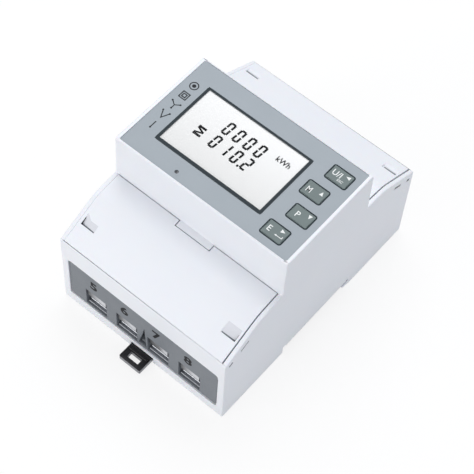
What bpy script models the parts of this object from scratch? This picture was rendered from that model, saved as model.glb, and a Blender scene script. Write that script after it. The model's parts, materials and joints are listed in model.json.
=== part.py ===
# A four-module energy meter for a 35 mm DIN rail, built from its separate pieces.
#
# Lengths are in metres and angles in degrees. The origin is the middle of the
# rail seat, +X is to the right of someone reading the display, +Y is the top of
# the meter and +Z comes out of the panel. The pieces hang on an empty at the feet
# of the housing, so every height below is measured from the feet.

import math

import bmesh
import bpy
from mathutils import Matrix

# Overall sizes
CLEARANCE = 0.0003
BODY_WIDTH = 0.072
BODY_LENGTH = 0.100
BODY_DEPTH = 0.066
EDGE_RADIUS = 0.0007
SEAM_GAP = 0.0001

# Housing outline, seen from the side
EAVE_HEIGHT = 0.0373
KNEE_FROM_END = 0.01673
KNEE_RISE = 0.00834
KNEE_RADIUS = 0.0131
SHOULDER_ANGLE = 6.6
FRONT_BLOCK_LENGTH = 0.0448
FRONT_BLOCK_DRAFT = 0.0004

# Housing walls
END_WALL = 0.0018
SIDE_WALL = 0.0028
CHEEK_WALL = 0.0016
FRONT_WALL = 0.0018
BLOCK_SIDE_WALL = 0.0018
BLOCK_END_WALL = 0.0020
LABEL_RIM_SIDE = 0.0013
LABEL_RIM_END = 0.0006
LABEL_DEPTH = 0.0010
WINDOW_SILL_HEIGHT = 0.0050
WINDOW_HEIGHT = 0.0220
WINDOW_RADIUS = 0.0010
COVER_LIP = 0.0005
TONGUE_WIDTH = 0.0144
TONGUE_REACH = 0.0024
TONGUE_THICKNESS = 0.0022
POST_SIZE = 0.0030
BOSS_WIDTH = 0.0060
BOSS_BACK = 0.0032
VENT_LONG = 0.0042
VENT_SHORT = 0.0019
VENT_WIDTH = 0.0009
VENT_LONG_FROM_END = 0.0095
VENT_SHORT_FROM_END = 0.00285
VENT_DROP = 0.0036

# Rail recess and back shell
RECESS_DEPTH = 0.0035
RECESS_LOWER_EDGE = 0.0175
RECESS_UPPER_EDGE = 0.0188
SEAT_RELIEF = 0.0004
HOOK_REACH = 0.0030
HOOK_LEAD_IN = 0.0012
HOOK_ROOT_HEIGHT = 0.0013
HOOK_TIP_THICKNESS = 0.0010
BASE_WALL = 0.0018
BASE_RIB_THICKNESS = 0.0020

# Terminal covers
COVER_THICKNESS = 0.0018
FLANGE_THICKNESS = 0.0008
LEDGE_DROP = 0.0073
POCKET_WIDTH = 0.0057
POCKET_LENGTH = 0.0041
POCKET_DEPTH = 0.0010
POCKET_FROM_SIDE = 0.0028
POCKET_FROM_END = 0.0074

# Terminals
PORT_COUNT = 4
PORT_FROM_SIDE = 0.0150
PORT_WIDTH = 0.0098
PORT_SILL = 0.0021
PORT_HEIGHT = 0.0082
PORT_FLARE = 0.0005
TERMINAL_FROM_SEAM = 0.0025
TERMINAL_FLOOR = 0.0008
TERMINAL_RECESS = 0.0004
TERMINAL_FRONT_WALL = 0.0013
CAGE_WIDTH = 0.0094
CAGE_LENGTH = 0.0120
CAGE_SIDE = 0.0008
CAGE_FLOOR = 0.0013
CAGE_ROOF = 0.0022
CAGE_TRAVEL = 0.0040
CEILING = 0.0012
SCREW_THREAD_RADIUS = 0.0025
SCREW_HEAD_RADIUS = 0.0036
SCREW_HEAD_HEIGHT = 0.0023
SCREW_TIP_RADIUS = 0.0020
SCREW_SLOT_WIDTH = 0.0009
SCREW_SLOT_REACH = 0.0027
SCREW_SLOT_DEPTH = 0.0012
BUSBAR_THICKNESS = 0.0032
BUSBAR_WIDTH = 0.0072
GROOVE_WIDTH = 0.0046
GROOVE_HEIGHT = 0.0120
GROOVE_DEPTH = 0.0030
GROOVE_LEAN = 0.0008

# Rail clip
CLIP_WIDTH = 0.0094
CLIP_THICKNESS = 0.0020
CLIP_HEIGHT = 0.0009
CLIP_TAB = 0.0065
CLIP_BITE = 0.0012
CLIP_HOOK_THICKNESS = 0.0014
CLIP_EYE_WIDTH = 0.0042
CLIP_EYE_LENGTH = 0.0021
CLIP_EYE_FROM_TIP = 0.0017
CLIP_RIDGE_HEIGHT = 0.0007
CLIP_RIDGE_FROM_TIP = 0.0042
CLIP_RIDGE_LENGTH = 0.0008
CLIP_LEG_WIDTH = 0.0034
CLIP_CORNER_RADIUS = 0.0012
GUIDE_WALL = 0.0017
GUIDE_LIP = 0.0013

# Front electronics
LABEL_THICKNESS = 0.0004
DISPLAY_LEFT_MARGIN = 0.0093
DISPLAY_RIGHT_MARGIN = 0.0182
DISPLAY_LENGTH = 0.0274
DISPLAY_CENTRE = 0.0002
DISPLAY_RADIUS = 0.0008
WINDOW_PANE_THICKNESS = 0.0010
LCD_THICKNESS = 0.0013
BACKLIGHT_THICKNESS = 0.0013
BACKLIGHT_MARGIN = 0.0010
BOARD_THICKNESS = 0.0016
DISPLAY_BOARD_DROP = 0.0036
POWER_BOARD_HEIGHT = 0.0243
KEY_COUNT = 4
KEY_WIDTH = 0.0080
KEY_LENGTH = 0.0058
KEY_RADIUS = 0.0010
KEY_PROUD = 0.0002
KEY_EDGE = 0.00015
KEY_FLANGE = 0.0006
KEY_FLANGE_THICKNESS = 0.0008
KEY_FROM_SIDE = 0.00815
KEY_STAGGER = 0.0025
KEY_FIRST = 0.0145
KEY_PITCH = 0.00988
KEY_FREE_PLAY = 0.0005
SWITCH_SIZE = 0.0060
SWITCH_HEIGHT = 0.0010
SWITCH_PLUNGER_RADIUS = 0.0016
LAMP_RADIUS = 0.00095
LAMP_FLANGE = 0.0004
LAMP_CROWN = 0.0003
LAMP_X = -0.0125
LAMP_Y = -0.0187

# Inside the body
TRANSFORMER_PLAY = 0.0007
TRANSFORMER_WALL = 0.0017
TRANSFORMER_LENGTH = 0.0080
TRANSFORMER_SPACING = 0.0110
SUPPLY_CORE_WIDTH = 0.0180
SUPPLY_CORE_LENGTH = 0.0240
SUPPLY_CORE_HEIGHT = 0.0180
SUPPLY_COIL_MARGIN = 0.0030
SUPPLY_FROM_SIDE = 0.0170
CAPACITOR_RADIUS = 0.0063
CAPACITOR_HEIGHT = 0.0200
CAPACITOR_X = 0.0060
HEADER_WIDTH = 0.0080
HEADER_LENGTH = 0.0050
HEADER_FROM_SIDE = 0.0120
BASE_SCREW_RADIUS = 0.0012
BASE_SCREW_TIP_RADIUS = 0.0008
BASE_SCREW_HEAD_RADIUS = 0.0019
BASE_SCREW_LENGTH = 0.0120
BASE_SCREW_FROM_SIDE = 0.0057
BASE_SCREW_Y = 0.0226

ROUND_STEPS = 24
WELD = 0.000005

# Derived places shared by several pieces
HALF_WIDTH = BODY_WIDTH / 2
HALF_LENGTH = BODY_LENGTH / 2
BLOCK_HALF = FRONT_BLOCK_LENGTH / 2
SLOPE = KNEE_RISE / KNEE_FROM_END
SLOPE_ANGLE = math.degrees(math.atan(SLOPE))
SHOULDER_SLOPE = math.tan(math.radians(SHOULDER_ANGLE))
KNEE_Y = HALF_LENGTH - KNEE_FROM_END
KNEE_HEIGHT = EAVE_HEIGHT + KNEE_RISE
LEDGE_HEIGHT = EAVE_HEIGHT - LEDGE_DROP
SEAM_Y = BLOCK_HALF + SEAM_GAP
CAVITY_HALF_WIDTH = HALF_WIDTH - SIDE_WALL
CAVITY_HALF_LENGTH = HALF_LENGTH - END_WALL
CENTRE_HALF_WIDTH = HALF_WIDTH - BLOCK_SIDE_WALL
CENTRE_HALF_LENGTH = BLOCK_HALF - BLOCK_END_WALL
WELL_HALF_WIDTH = HALF_WIDTH - CHEEK_WALL
LABEL_FLOOR = BODY_DEPTH - LABEL_DEPTH
FRONT_UNDERSIDE = LABEL_FLOOR - FRONT_WALL
LABEL_HALF_WIDTH = HALF_WIDTH - LABEL_RIM_SIDE
LABEL_HALF_LENGTH = BLOCK_HALF - FRONT_BLOCK_DRAFT - LABEL_RIM_END
LABEL_BASE = LABEL_FLOOR + CLEARANCE
LABEL_TOP = LABEL_BASE + LABEL_THICKNESS
WINDOW_TOP = WINDOW_SILL_HEIGHT + WINDOW_HEIGHT
RECESS_FLOOR = RECESS_DEPTH
RELIEF_FLOOR = RECESS_FLOOR + SEAT_RELIEF
BASE_TOP = RECESS_FLOOR + BASE_WALL
BASE_RIB_HEIGHT = WINDOW_SILL_HEIGHT
BOSS_FOOT_HEIGHT = BASE_TOP + CLEARANCE
BASE_PAD_HEIGHT = BASE_TOP - 2 * CLEARANCE
TERMINAL_FRONT = HALF_LENGTH - TERMINAL_RECESS
TERMINAL_BACK = SEAM_Y + TERMINAL_FROM_SEAM
TERMINAL_BASE = WINDOW_SILL_HEIGHT + CLEARANCE
TERMINAL_TOP = WINDOW_TOP - CLEARANCE
PORT_BASE = TERMINAL_BASE + PORT_SILL
PORT_TOP = PORT_BASE + PORT_HEIGHT
CAGE_FRONT = TERMINAL_FRONT - TERMINAL_FRONT_WALL - CLEARANCE
CAGE_BACK = CAGE_FRONT - CAGE_LENGTH
CAVITY_FLOOR = TERMINAL_BASE + TERMINAL_FLOOR
CAGE_BASE = CAVITY_FLOOR + CLEARANCE
BUSBAR_TOP = PORT_TOP - CLEARANCE
BUSBAR_HEIGHT = BUSBAR_TOP - BUSBAR_THICKNESS
SCREW_TIP = BUSBAR_TOP + CLEARANCE
CAGE_ROOF_HEIGHT = BUSBAR_TOP + CLEARANCE
CAGE_TOP = CAGE_ROOF_HEIGHT + CAGE_ROOF
CEILING_HEIGHT = CAGE_TOP + CAGE_TRAVEL + CLEARANCE
SCREW_SEAT = CEILING_HEIGHT + CEILING
DISPLAY_BOARD_HEIGHT = FRONT_UNDERSIDE - DISPLAY_BOARD_DROP - BOARD_THICKNESS
DISPLAY_BOARD_TOP = DISPLAY_BOARD_HEIGHT + BOARD_THICKNESS
POWER_BOARD_TOP = POWER_BOARD_HEIGHT + BOARD_THICKNESS
CENTRE_FLOOR = POWER_BOARD_HEIGHT - CLEARANCE
BOSS_TOP_HEIGHT = CENTRE_FLOOR - CLEARANCE
DISPLAY_LEFT = -HALF_WIDTH + DISPLAY_LEFT_MARGIN
DISPLAY_RIGHT = HALF_WIDTH - DISPLAY_RIGHT_MARGIN
DISPLAY_LOW = DISPLAY_CENTRE - DISPLAY_LENGTH / 2
DISPLAY_HIGH = DISPLAY_CENTRE + DISPLAY_LENGTH / 2
WINDOW_PANE_BASE = LABEL_TOP - WINDOW_PANE_THICKNESS
LCD_BASE = WINDOW_PANE_BASE - CLEARANCE - LCD_THICKNESS
CLIP_TOP = CLIP_HEIGHT + CLIP_THICKNESS
TUNNEL_HALF_WIDTH = CLIP_WIDTH / 2 + CLEARANCE
TUNNEL_TOP = CLIP_TOP + CLEARANCE


def slope_height(y):
    return EAVE_HEIGHT + SLOPE * (HALF_LENGTH - y)


def shoulder_height(y):
    return KNEE_HEIGHT + SHOULDER_SLOPE * (KNEE_Y - y)


def port_x(index):
    first = -HALF_WIDTH + PORT_FROM_SIDE
    return first - 2 * first * index / (PORT_COUNT - 1)


def key_centre(index):
    stagger = KEY_STAGGER if index % 2 else 0.0
    x = HALF_WIDTH - KEY_FROM_SIDE - stagger
    return x, KEY_FIRST - index * KEY_PITCH


def clear_scene():
    for obj in list(bpy.data.objects):
        bpy.data.objects.remove(obj, do_unlink=True)


def make_collection(name):
    collection = bpy.data.collections.new(name)
    bpy.context.scene.collection.children.link(collection)
    return collection


def make_material(name, colour, roughness, metallic=0.0, alpha=1.0):
    material = bpy.data.materials.new(name)
    material.use_nodes = True
    shader = material.node_tree.nodes["Principled BSDF"]
    shader.inputs["Base Color"].default_value = (*colour, 1.0)
    shader.inputs["Roughness"].default_value = roughness
    shader.inputs["Metallic"].default_value = metallic
    shader.inputs["Alpha"].default_value = alpha
    return material


def mesh_object(name, mesh):
    obj = bpy.data.objects.new(name, mesh)
    bpy.context.scene.collection.objects.link(obj)
    obj.parent = datum
    return obj


def box(name, corner, opposite):
    mesh = bpy.data.meshes.new(name)
    size = [abs(a - b) for a, b in zip(corner, opposite)]
    centre = [(a + b) / 2 for a, b in zip(corner, opposite)]
    bm = bmesh.new()
    bmesh.ops.create_cube(bm, size=1.0, matrix=Matrix.Translation(centre) @ Matrix.Diagonal((*size, 1.0)))
    bm.to_mesh(mesh)
    bm.free()
    return mesh_object(name, mesh)


def turned(name, profile, location=(0, 0, 0), axis="Z"):
    # A profile of (radius, height) points, from the top down its outer side
    mesh = bpy.data.meshes.new(name)
    bm = bmesh.new()
    ring = [bm.verts.new((radius, 0, height)) for radius, height in profile]
    for upper, lower in zip(ring, ring[1:]):
        bm.edges.new((upper, lower))
    if profile[0][0] > 0:
        bm.edges.new((ring[-1], ring[0]))
    bm.to_mesh(mesh)
    bm.free()
    obj = mesh_object(name, mesh)
    obj.location = location
    if axis == "Y":
        obj.rotation_euler = (math.radians(-90), 0, 0)
    screw = obj.modifiers.new("turn", "SCREW")
    screw.steps = ROUND_STEPS
    screw.render_steps = ROUND_STEPS
    screw.use_merge_vertices = True
    screw.merge_threshold = WELD
    screw.use_smooth_shade = False
    return obj


def cylinder(name, radius, centre, bottom, top, steps=ROUND_STEPS):
    mesh = bpy.data.meshes.new(name)
    bm = bmesh.new()
    place = Matrix.Translation((centre[0], centre[1], (bottom + top) / 2))
    bmesh.ops.create_cone(bm, cap_ends=True, segments=steps, radius1=radius, radius2=radius,
                          depth=top - bottom, matrix=place)
    bm.to_mesh(mesh)
    bm.free()
    return mesh_object(name, mesh)


def round_corners(points, radii, step_angle=15.0):
    # Replaces each corner of a closed outline by an arc of its own radius,
    # or the largest that its two sides have room for
    outline = []
    count = len(points)
    for index, (corner, radius) in enumerate(zip(points, radii)):
        if radius <= 0:
            outline.append(corner)
            continue
        before = points[index - 1]
        after = points[(index + 1) % count]
        to_before = math.atan2(before[1] - corner[1], before[0] - corner[0])
        to_after = math.atan2(after[1] - corner[1], after[0] - corner[0])
        opening = (to_after - to_before + math.pi) % (2 * math.pi) - math.pi
        room = min(math.dist(before, corner), math.dist(after, corner))
        radius = min(radius, room * math.tan(abs(opening) / 2))
        reach = radius / math.tan(abs(opening) / 2)
        hub_distance = radius / math.sin(abs(opening) / 2)
        middle = to_before + opening / 2
        hub = (corner[0] + hub_distance * math.cos(middle), corner[1] + hub_distance * math.sin(middle))
        start = (corner[0] + reach * math.cos(to_before), corner[1] + reach * math.sin(to_before))
        first = math.atan2(start[1] - hub[1], start[0] - hub[0])
        turn = math.copysign(math.pi - abs(opening), -opening)
        steps = max(1, math.ceil(math.degrees(abs(turn)) / step_angle))
        for step in range(steps + 1):
            angle = first + turn * step / steps
            outline.append((hub[0] + radius * math.cos(angle), hub[1] + radius * math.sin(angle)))
    return outline


def prism(name, outline, axis, start, end):
    # Extrudes a closed outline along X, Y or Z. The outline's points are
    # (y, z) along X, (x, z) along Y and (x, y) along Z.
    curve = bpy.data.curves.new(name, "CURVE")
    curve.dimensions = "2D"
    curve.fill_mode = "BOTH"
    curve.extrude = (end - start) / 2
    spline = curve.splines.new("POLY")
    spline.points.add(len(outline) - 1)
    for point, (u, v) in zip(spline.points, outline):
        point.co = (u, v, 0, 1)
    spline.use_cyclic_u = True
    guide = bpy.data.objects.new(name, curve)
    bpy.context.scene.collection.objects.link(guide)
    depsgraph = bpy.context.evaluated_depsgraph_get()
    mesh = bpy.data.meshes.new_from_object(guide.evaluated_get(depsgraph))
    bpy.data.objects.remove(guide, do_unlink=True)
    bpy.data.curves.remove(curve)
    middle = (start + end) / 2
    turn = {
        "X": Matrix(((0, 0, 1, middle), (1, 0, 0, 0), (0, 1, 0, 0), (0, 0, 0, 1))),
        "Y": Matrix(((1, 0, 0, 0), (0, 0, -1, middle), (0, 1, 0, 0), (0, 0, 0, 1))),
        "Z": Matrix.Translation((0, 0, middle)),
    }[axis]
    bm = bmesh.new()
    bm.from_mesh(mesh)
    bmesh.ops.remove_doubles(bm, verts=bm.verts, dist=WELD)
    bmesh.ops.dissolve_limit(bm, angle_limit=math.radians(0.5), verts=bm.verts, edges=bm.edges)
    bmesh.ops.recalc_face_normals(bm, faces=bm.faces)
    bmesh.ops.transform(bm, matrix=turn, verts=bm.verts)
    bm.to_mesh(mesh)
    bm.free()
    mesh.name = name
    return mesh_object(name, mesh)


def rounded_rectangle(low, high, radius):
    corners = [(low[0], low[1]), (high[0], low[1]), (high[0], high[1]), (low[0], high[1])]
    return round_corners(corners, [radius] * 4, step_angle=30.0)


def mirrored(outline, side):
    # The same (y, z) or (x, y) outline on the lower end (side -1) or the upper end (side 1)
    return [(side * u, v) for u, v in outline]


def soften(obj, width, segments=1, limit=50.0):
    bevel = obj.modifiers.new("soften", "BEVEL")
    bevel.width = width
    bevel.segments = segments
    bevel.limit_method = "ANGLE"
    bevel.angle_limit = math.radians(limit)
    return obj


def combine(target, tool, operation):
    step = target.modifiers.new(tool.name, "BOOLEAN")
    step.operation = operation
    step.solver = "EXACT"
    step.object = tool
    tool.hide_render = True
    tool.display_type = "WIRE"
    for collection in list(tool.users_collection):
        collection.objects.unlink(tool)
    cutters.objects.link(tool)


def cut(target, tool):
    combine(target, tool, "DIFFERENCE")


def join(target, tool):
    combine(target, tool, "UNION")


def finish(obj, material):
    obj.data.materials.clear()
    obj.data.materials.append(material)
    for collection in list(obj.users_collection):
        collection.objects.unlink(obj)
    parts.objects.link(obj)
    return obj


def housing_outline():
    half = [
        ((HALF_LENGTH, 0.0), EDGE_RADIUS),
        ((HALF_LENGTH, EAVE_HEIGHT), EDGE_RADIUS),
        ((KNEE_Y, KNEE_HEIGHT), KNEE_RADIUS),
        ((BLOCK_HALF, shoulder_height(BLOCK_HALF)), EDGE_RADIUS / 2),
        ((BLOCK_HALF - FRONT_BLOCK_DRAFT, BODY_DEPTH), EDGE_RADIUS),
    ]
    points = [point for point, radius in half]
    radii = [radius for point, radius in half]
    points += [(-y, z) for y, z in reversed(points)]
    radii += list(reversed(radii))
    return round_corners(points, radii, step_angle=8.0)


def recess_points():
    # The rail recess, from the lower edge round to the lead-in of the fixed hook.
    # The rail bears on a raised seat between the clip and the hook.
    slot_floor = HOOK_ROOT_HEIGHT + HOOK_TIP_THICKNESS
    hook_tip = RECESS_UPPER_EDGE - HOOK_REACH
    seat_low = -RECESS_LOWER_EDGE + CLIP_BITE + CLEARANCE
    seat_high = hook_tip - CLEARANCE
    return [
        (-RECESS_LOWER_EDGE, 0.0),
        (-RECESS_LOWER_EDGE, RELIEF_FLOOR),
        (seat_low, RELIEF_FLOOR),
        (seat_low, RECESS_FLOOR),
        (seat_high, RECESS_FLOOR),
        (seat_high, RELIEF_FLOOR),
        (RECESS_UPPER_EDGE, RELIEF_FLOOR),
        (RECESS_UPPER_EDGE, slot_floor),
        (hook_tip, slot_floor),
        (hook_tip, HOOK_ROOT_HEIGHT),
        (RECESS_UPPER_EDGE + HOOK_LEAD_IN, 0.0),
    ]


def recess_cutter(name, half_width):
    points = recess_points()
    below = [(points[-1][0], -BASE_WALL), (points[0][0], -BASE_WALL)]
    return prism(name, points + below, "X", -half_width, half_width)


def key_outline(index, grow):
    x, y = key_centre(index)
    low = (x - KEY_WIDTH / 2 - grow, y - KEY_LENGTH / 2 - grow)
    high = (x + KEY_WIDTH / 2 + grow, y + KEY_LENGTH / 2 + grow)
    return rounded_rectangle(low, high, KEY_RADIUS + grow)


def display_outline(inset):
    low = (DISPLAY_LEFT + inset, DISPLAY_LOW + inset)
    high = (DISPLAY_RIGHT - inset, DISPLAY_HIGH - inset)
    return rounded_rectangle(low, high, DISPLAY_RADIUS)


def cut_front_openings(target, bottom, top):
    label = target.name
    cut(target, prism(f"{label}_display_opening", display_outline(0.0), "Z", bottom, top))
    for index in range(KEY_COUNT):
        outline = key_outline(index, CLEARANCE)
        cut(target, prism(f"{label}_key_opening_{index + 1}", outline, "Z", bottom, top))
    lamp = cylinder(f"{label}_lamp_opening", LAMP_RADIUS + CLEARANCE, (LAMP_X, LAMP_Y), bottom, top)
    cut(target, lamp)


def cut_vents(target, side):
    tilt = math.radians(SLOPE_ANGLE)
    for kind, length, from_end in (("long", VENT_LONG, VENT_LONG_FROM_END),
                                   ("short", VENT_SHORT, VENT_SHORT_FROM_END)):
        y = HALF_LENGTH - from_end
        reach = HALF_WIDTH + END_WALL
        vent = box(f"housing_vent_{kind}_{'lower' if side < 0 else 'upper'}",
                   (-reach, -length / 2, -VENT_WIDTH / 2), (reach, length / 2, VENT_WIDTH / 2))
        vent.location = (0, side * y, slope_height(y) - VENT_DROP)
        vent.rotation_euler = (-side * tilt, 0, 0)
        cut(target, vent)


def make_housing():
    body = prism("housing", housing_outline(), "X", -HALF_WIDTH, HALF_WIDTH)
    soften(body, EDGE_RADIUS, segments=2)
    cut(body, box("housing_base_cavity", (-CAVITY_HALF_WIDTH, -CAVITY_HALF_LENGTH, -END_WALL),
                  (CAVITY_HALF_WIDTH, CAVITY_HALF_LENGTH, CENTRE_FLOOR + CLEARANCE)))
    cut(body, box("housing_centre_cavity", (-CENTRE_HALF_WIDTH, -CENTRE_HALF_LENGTH, CENTRE_FLOOR),
                  (CENTRE_HALF_WIDTH, CENTRE_HALF_LENGTH, FRONT_UNDERSIDE)))
    rabbet_floor = slope_height(HALF_LENGTH - COVER_LIP) - COVER_THICKNESS - 2 * CLEARANCE
    for side in (-1, 1):
        end = "lower" if side < 0 else "upper"
        well = [
            (SEAM_Y, LEDGE_HEIGHT),
            (CAVITY_HALF_LENGTH, LEDGE_HEIGHT),
            (CAVITY_HALF_LENGTH, rabbet_floor),
            (HALF_LENGTH - COVER_LIP, rabbet_floor),
            (HALF_LENGTH - COVER_LIP, BODY_DEPTH),
            (SEAM_Y, BODY_DEPTH),
        ]
        cut(body, prism(f"housing_cover_well_{end}", mirrored(well, side), "X",
                        -WELL_HALF_WIDTH, WELL_HALF_WIDTH))
        cut(body, box(f"housing_chamber_{end}",
                      (-CAVITY_HALF_WIDTH, side * SEAM_Y, CENTRE_FLOOR - CLEARANCE),
                      (CAVITY_HALF_WIDTH, side * CAVITY_HALF_LENGTH, LEDGE_HEIGHT + CLEARANCE)))
        window = rounded_rectangle((-CAVITY_HALF_WIDTH, WINDOW_SILL_HEIGHT),
                                   (CAVITY_HALF_WIDTH, WINDOW_TOP), WINDOW_RADIUS)
        inner, outer = span(side, CAVITY_HALF_LENGTH - CLEARANCE, HALF_LENGTH + END_WALL)
        cut(body, prism(f"housing_window_{end}", window, "Y", inner, outer))
        cut_vents(body, side)
        tongue_end = SEAM_Y + TONGUE_REACH
        tongue_root = BLOCK_HALF - BLOCK_END_WALL / 2
        tongue = [
            (tongue_root, shoulder_height(tongue_root) - TONGUE_THICKNESS),
            (tongue_end, shoulder_height(tongue_end) - TONGUE_THICKNESS),
            (tongue_end, shoulder_height(tongue_end)),
            (tongue_root, shoulder_height(tongue_root)),
        ]
        join(body, prism(f"housing_tongue_{end}", mirrored(tongue, side), "X",
                         -TONGUE_WIDTH / 2, TONGUE_WIDTH / 2))
    cut(body, recess_cutter("housing_recess", HALF_WIDTH + END_WALL))
    cut(body, box("housing_clip_slot", (-TUNNEL_HALF_WIDTH, -HALF_LENGTH - END_WALL, -END_WALL),
                  (TUNNEL_HALF_WIDTH, -CAVITY_HALF_LENGTH + CLEARANCE, TUNNEL_TOP)))
    label = rounded_rectangle((-LABEL_HALF_WIDTH, -LABEL_HALF_LENGTH),
                              (LABEL_HALF_WIDTH, LABEL_HALF_LENGTH), EDGE_RADIUS)
    cut(body, prism("housing_label_recess", label, "Z", LABEL_FLOOR, BODY_DEPTH + LABEL_DEPTH))
    cut_front_openings(body, FRONT_UNDERSIDE - CLEARANCE, LABEL_FLOOR + CLEARANCE)
    for index, (x, y) in enumerate(post_centres()):
        join(body, box(f"housing_post_{index + 1}",
                       (x - POST_SIZE / 2, y - POST_SIZE / 2, DISPLAY_BOARD_TOP + CLEARANCE),
                       (x + POST_SIZE / 2, y + POST_SIZE / 2, FRONT_UNDERSIDE + FRONT_WALL / 2)))
    for index, (x, y) in enumerate(base_screw_centres()):
        join(body, box(f"housing_boss_{index + 1}",
                       (math.copysign(CAVITY_HALF_WIDTH + SIDE_WALL / 2, x),
                        math.copysign(TERMINAL_BACK - CLEARANCE, y), BOSS_FOOT_HEIGHT),
                       (math.copysign(abs(x) - BOSS_WIDTH / 2, x),
                        math.copysign(BASE_SCREW_Y - BOSS_BACK, y), BOSS_TOP_HEIGHT)))
        cut(body, cylinder(f"housing_boss_hole_{index + 1}", BASE_SCREW_RADIUS + CLEARANCE, (x, y),
                           BOSS_FOOT_HEIGHT - CLEARANCE, BASE_SCREW_LENGTH + END_WALL, steps=12))
    return finish(body, white_plastic)


def post_centres():
    left = -HALF_WIDTH + BLOCK_SIDE_WALL + POST_SIZE
    right = DISPLAY_RIGHT - POST_SIZE
    y = CENTRE_HALF_LENGTH - POST_SIZE
    return [(left, -y), (left, y), (right, -y), (right, y)]


def base_screw_centres():
    x = HALF_WIDTH - BASE_SCREW_FROM_SIDE
    return [(-x, -BASE_SCREW_Y), (x, -BASE_SCREW_Y), (-x, BASE_SCREW_Y), (x, BASE_SCREW_Y)]


def make_rear_base():
    half_width = CAVITY_HALF_WIDTH - CLEARANCE
    half_length = CAVITY_HALF_LENGTH - CLEARANCE
    lower_wall = -RECESS_LOWER_EDGE - BASE_WALL
    upper_wall = RECESS_UPPER_EDGE + BASE_WALL
    outline = recess_points() + [
        (half_length, 0.0),
        (half_length, BASE_WALL),
        (upper_wall, BASE_WALL),
        (upper_wall, BASE_TOP),
        (lower_wall, BASE_TOP),
        (lower_wall, BASE_WALL),
        (-half_length, BASE_WALL),
        (-half_length, 0.0),
    ]
    base = prism("rear_base", outline, "X", -half_width, half_width)
    for side in (-1, 1):
        end = "lower" if side < 0 else "upper"
        ribs = (TERMINAL_BACK + BASE_RIB_THICKNESS, HALF_LENGTH - END_WALL - 4 * BASE_RIB_THICKNESS)
        for index, y in enumerate(ribs):
            join(base, box(f"rear_base_rib_{end}_{index + 1}",
                           (-half_width + BASE_WALL, side * y, BASE_WALL / 2),
                           (half_width - BASE_WALL, side * (y + BASE_RIB_THICKNESS), BASE_RIB_HEIGHT)))
    guide_half = TUNNEL_HALF_WIDTH + GUIDE_WALL
    join(base, box("rear_base_guide", (-guide_half, -half_length, 0.0),
                   (guide_half, lower_wall + BASE_WALL / 2, BASE_RIB_HEIGHT)))
    for index, (x, y) in enumerate(base_screw_centres()):
        wall = lower_wall if y < 0 else upper_wall
        join(base, box(f"rear_base_pad_{index + 1}",
                       (math.copysign(half_width - BASE_WALL / 4, x),
                        math.copysign(abs(wall) - BASE_WALL / 2, y), BASE_WALL / 2),
                       (math.copysign(abs(x) - BOSS_WIDTH / 2, x),
                        math.copysign(TERMINAL_BACK - CLEARANCE, y), BASE_PAD_HEIGHT)))
        cut(base, cylinder(f"rear_base_hole_{index + 1}", BASE_SCREW_RADIUS + CLEARANCE, (x, y),
                           -BASE_WALL, BASE_TOP, steps=12))
        cut(base, cylinder(f"rear_base_sink_{index + 1}", BASE_SCREW_HEAD_RADIUS + CLEARANCE, (x, y),
                           -BASE_WALL, BASE_WALL + CLEARANCE, steps=16))
    cut(base, box("rear_base_tunnel", (-TUNNEL_HALF_WIDTH, -HALF_LENGTH, CLIP_HEIGHT - CLEARANCE),
                  (TUNNEL_HALF_WIDTH, -RECESS_LOWER_EDGE + BASE_WALL, TUNNEL_TOP)))
    slot_half = CLIP_WIDTH / 2 - GUIDE_LIP
    cut(base, box("rear_base_tunnel_slot", (-slot_half, -HALF_LENGTH, -BASE_WALL),
                  (slot_half, -RECESS_LOWER_EDGE + BASE_WALL, CLIP_HEIGHT)))
    return finish(base, grey_plastic)


def cover_outline(inner_y, outer_y, top_drop, thickness):
    # Follows the housing's slope between two distances from the middle
    bend = math.radians(SLOPE_ANGLE - SHOULDER_ANGLE) / 2
    shift = thickness / math.cos(math.radians((SLOPE_ANGLE + SHOULDER_ANGLE) / 2)) / math.cos(bend)
    slope_shift = thickness / math.cos(math.radians(SLOPE_ANGLE))
    shoulder_shift = thickness / math.cos(math.radians(SHOULDER_ANGLE))
    points = [
        (inner_y, shoulder_height(inner_y) - top_drop),
        (inner_y, shoulder_height(inner_y) - top_drop - shoulder_shift),
        (KNEE_Y - thickness * math.sin(math.radians((SLOPE_ANGLE + SHOULDER_ANGLE) / 2)),
         KNEE_HEIGHT - top_drop - shift * math.cos(bend) ** 2),
        (outer_y, slope_height(outer_y) - top_drop - slope_shift),
        (outer_y, slope_height(outer_y) - top_drop),
        (KNEE_Y, KNEE_HEIGHT - top_drop),
    ]
    radii = [0, 0, KNEE_RADIUS - thickness, 0, 0, KNEE_RADIUS]
    return round_corners(points, radii, step_angle=8.0)


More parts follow.
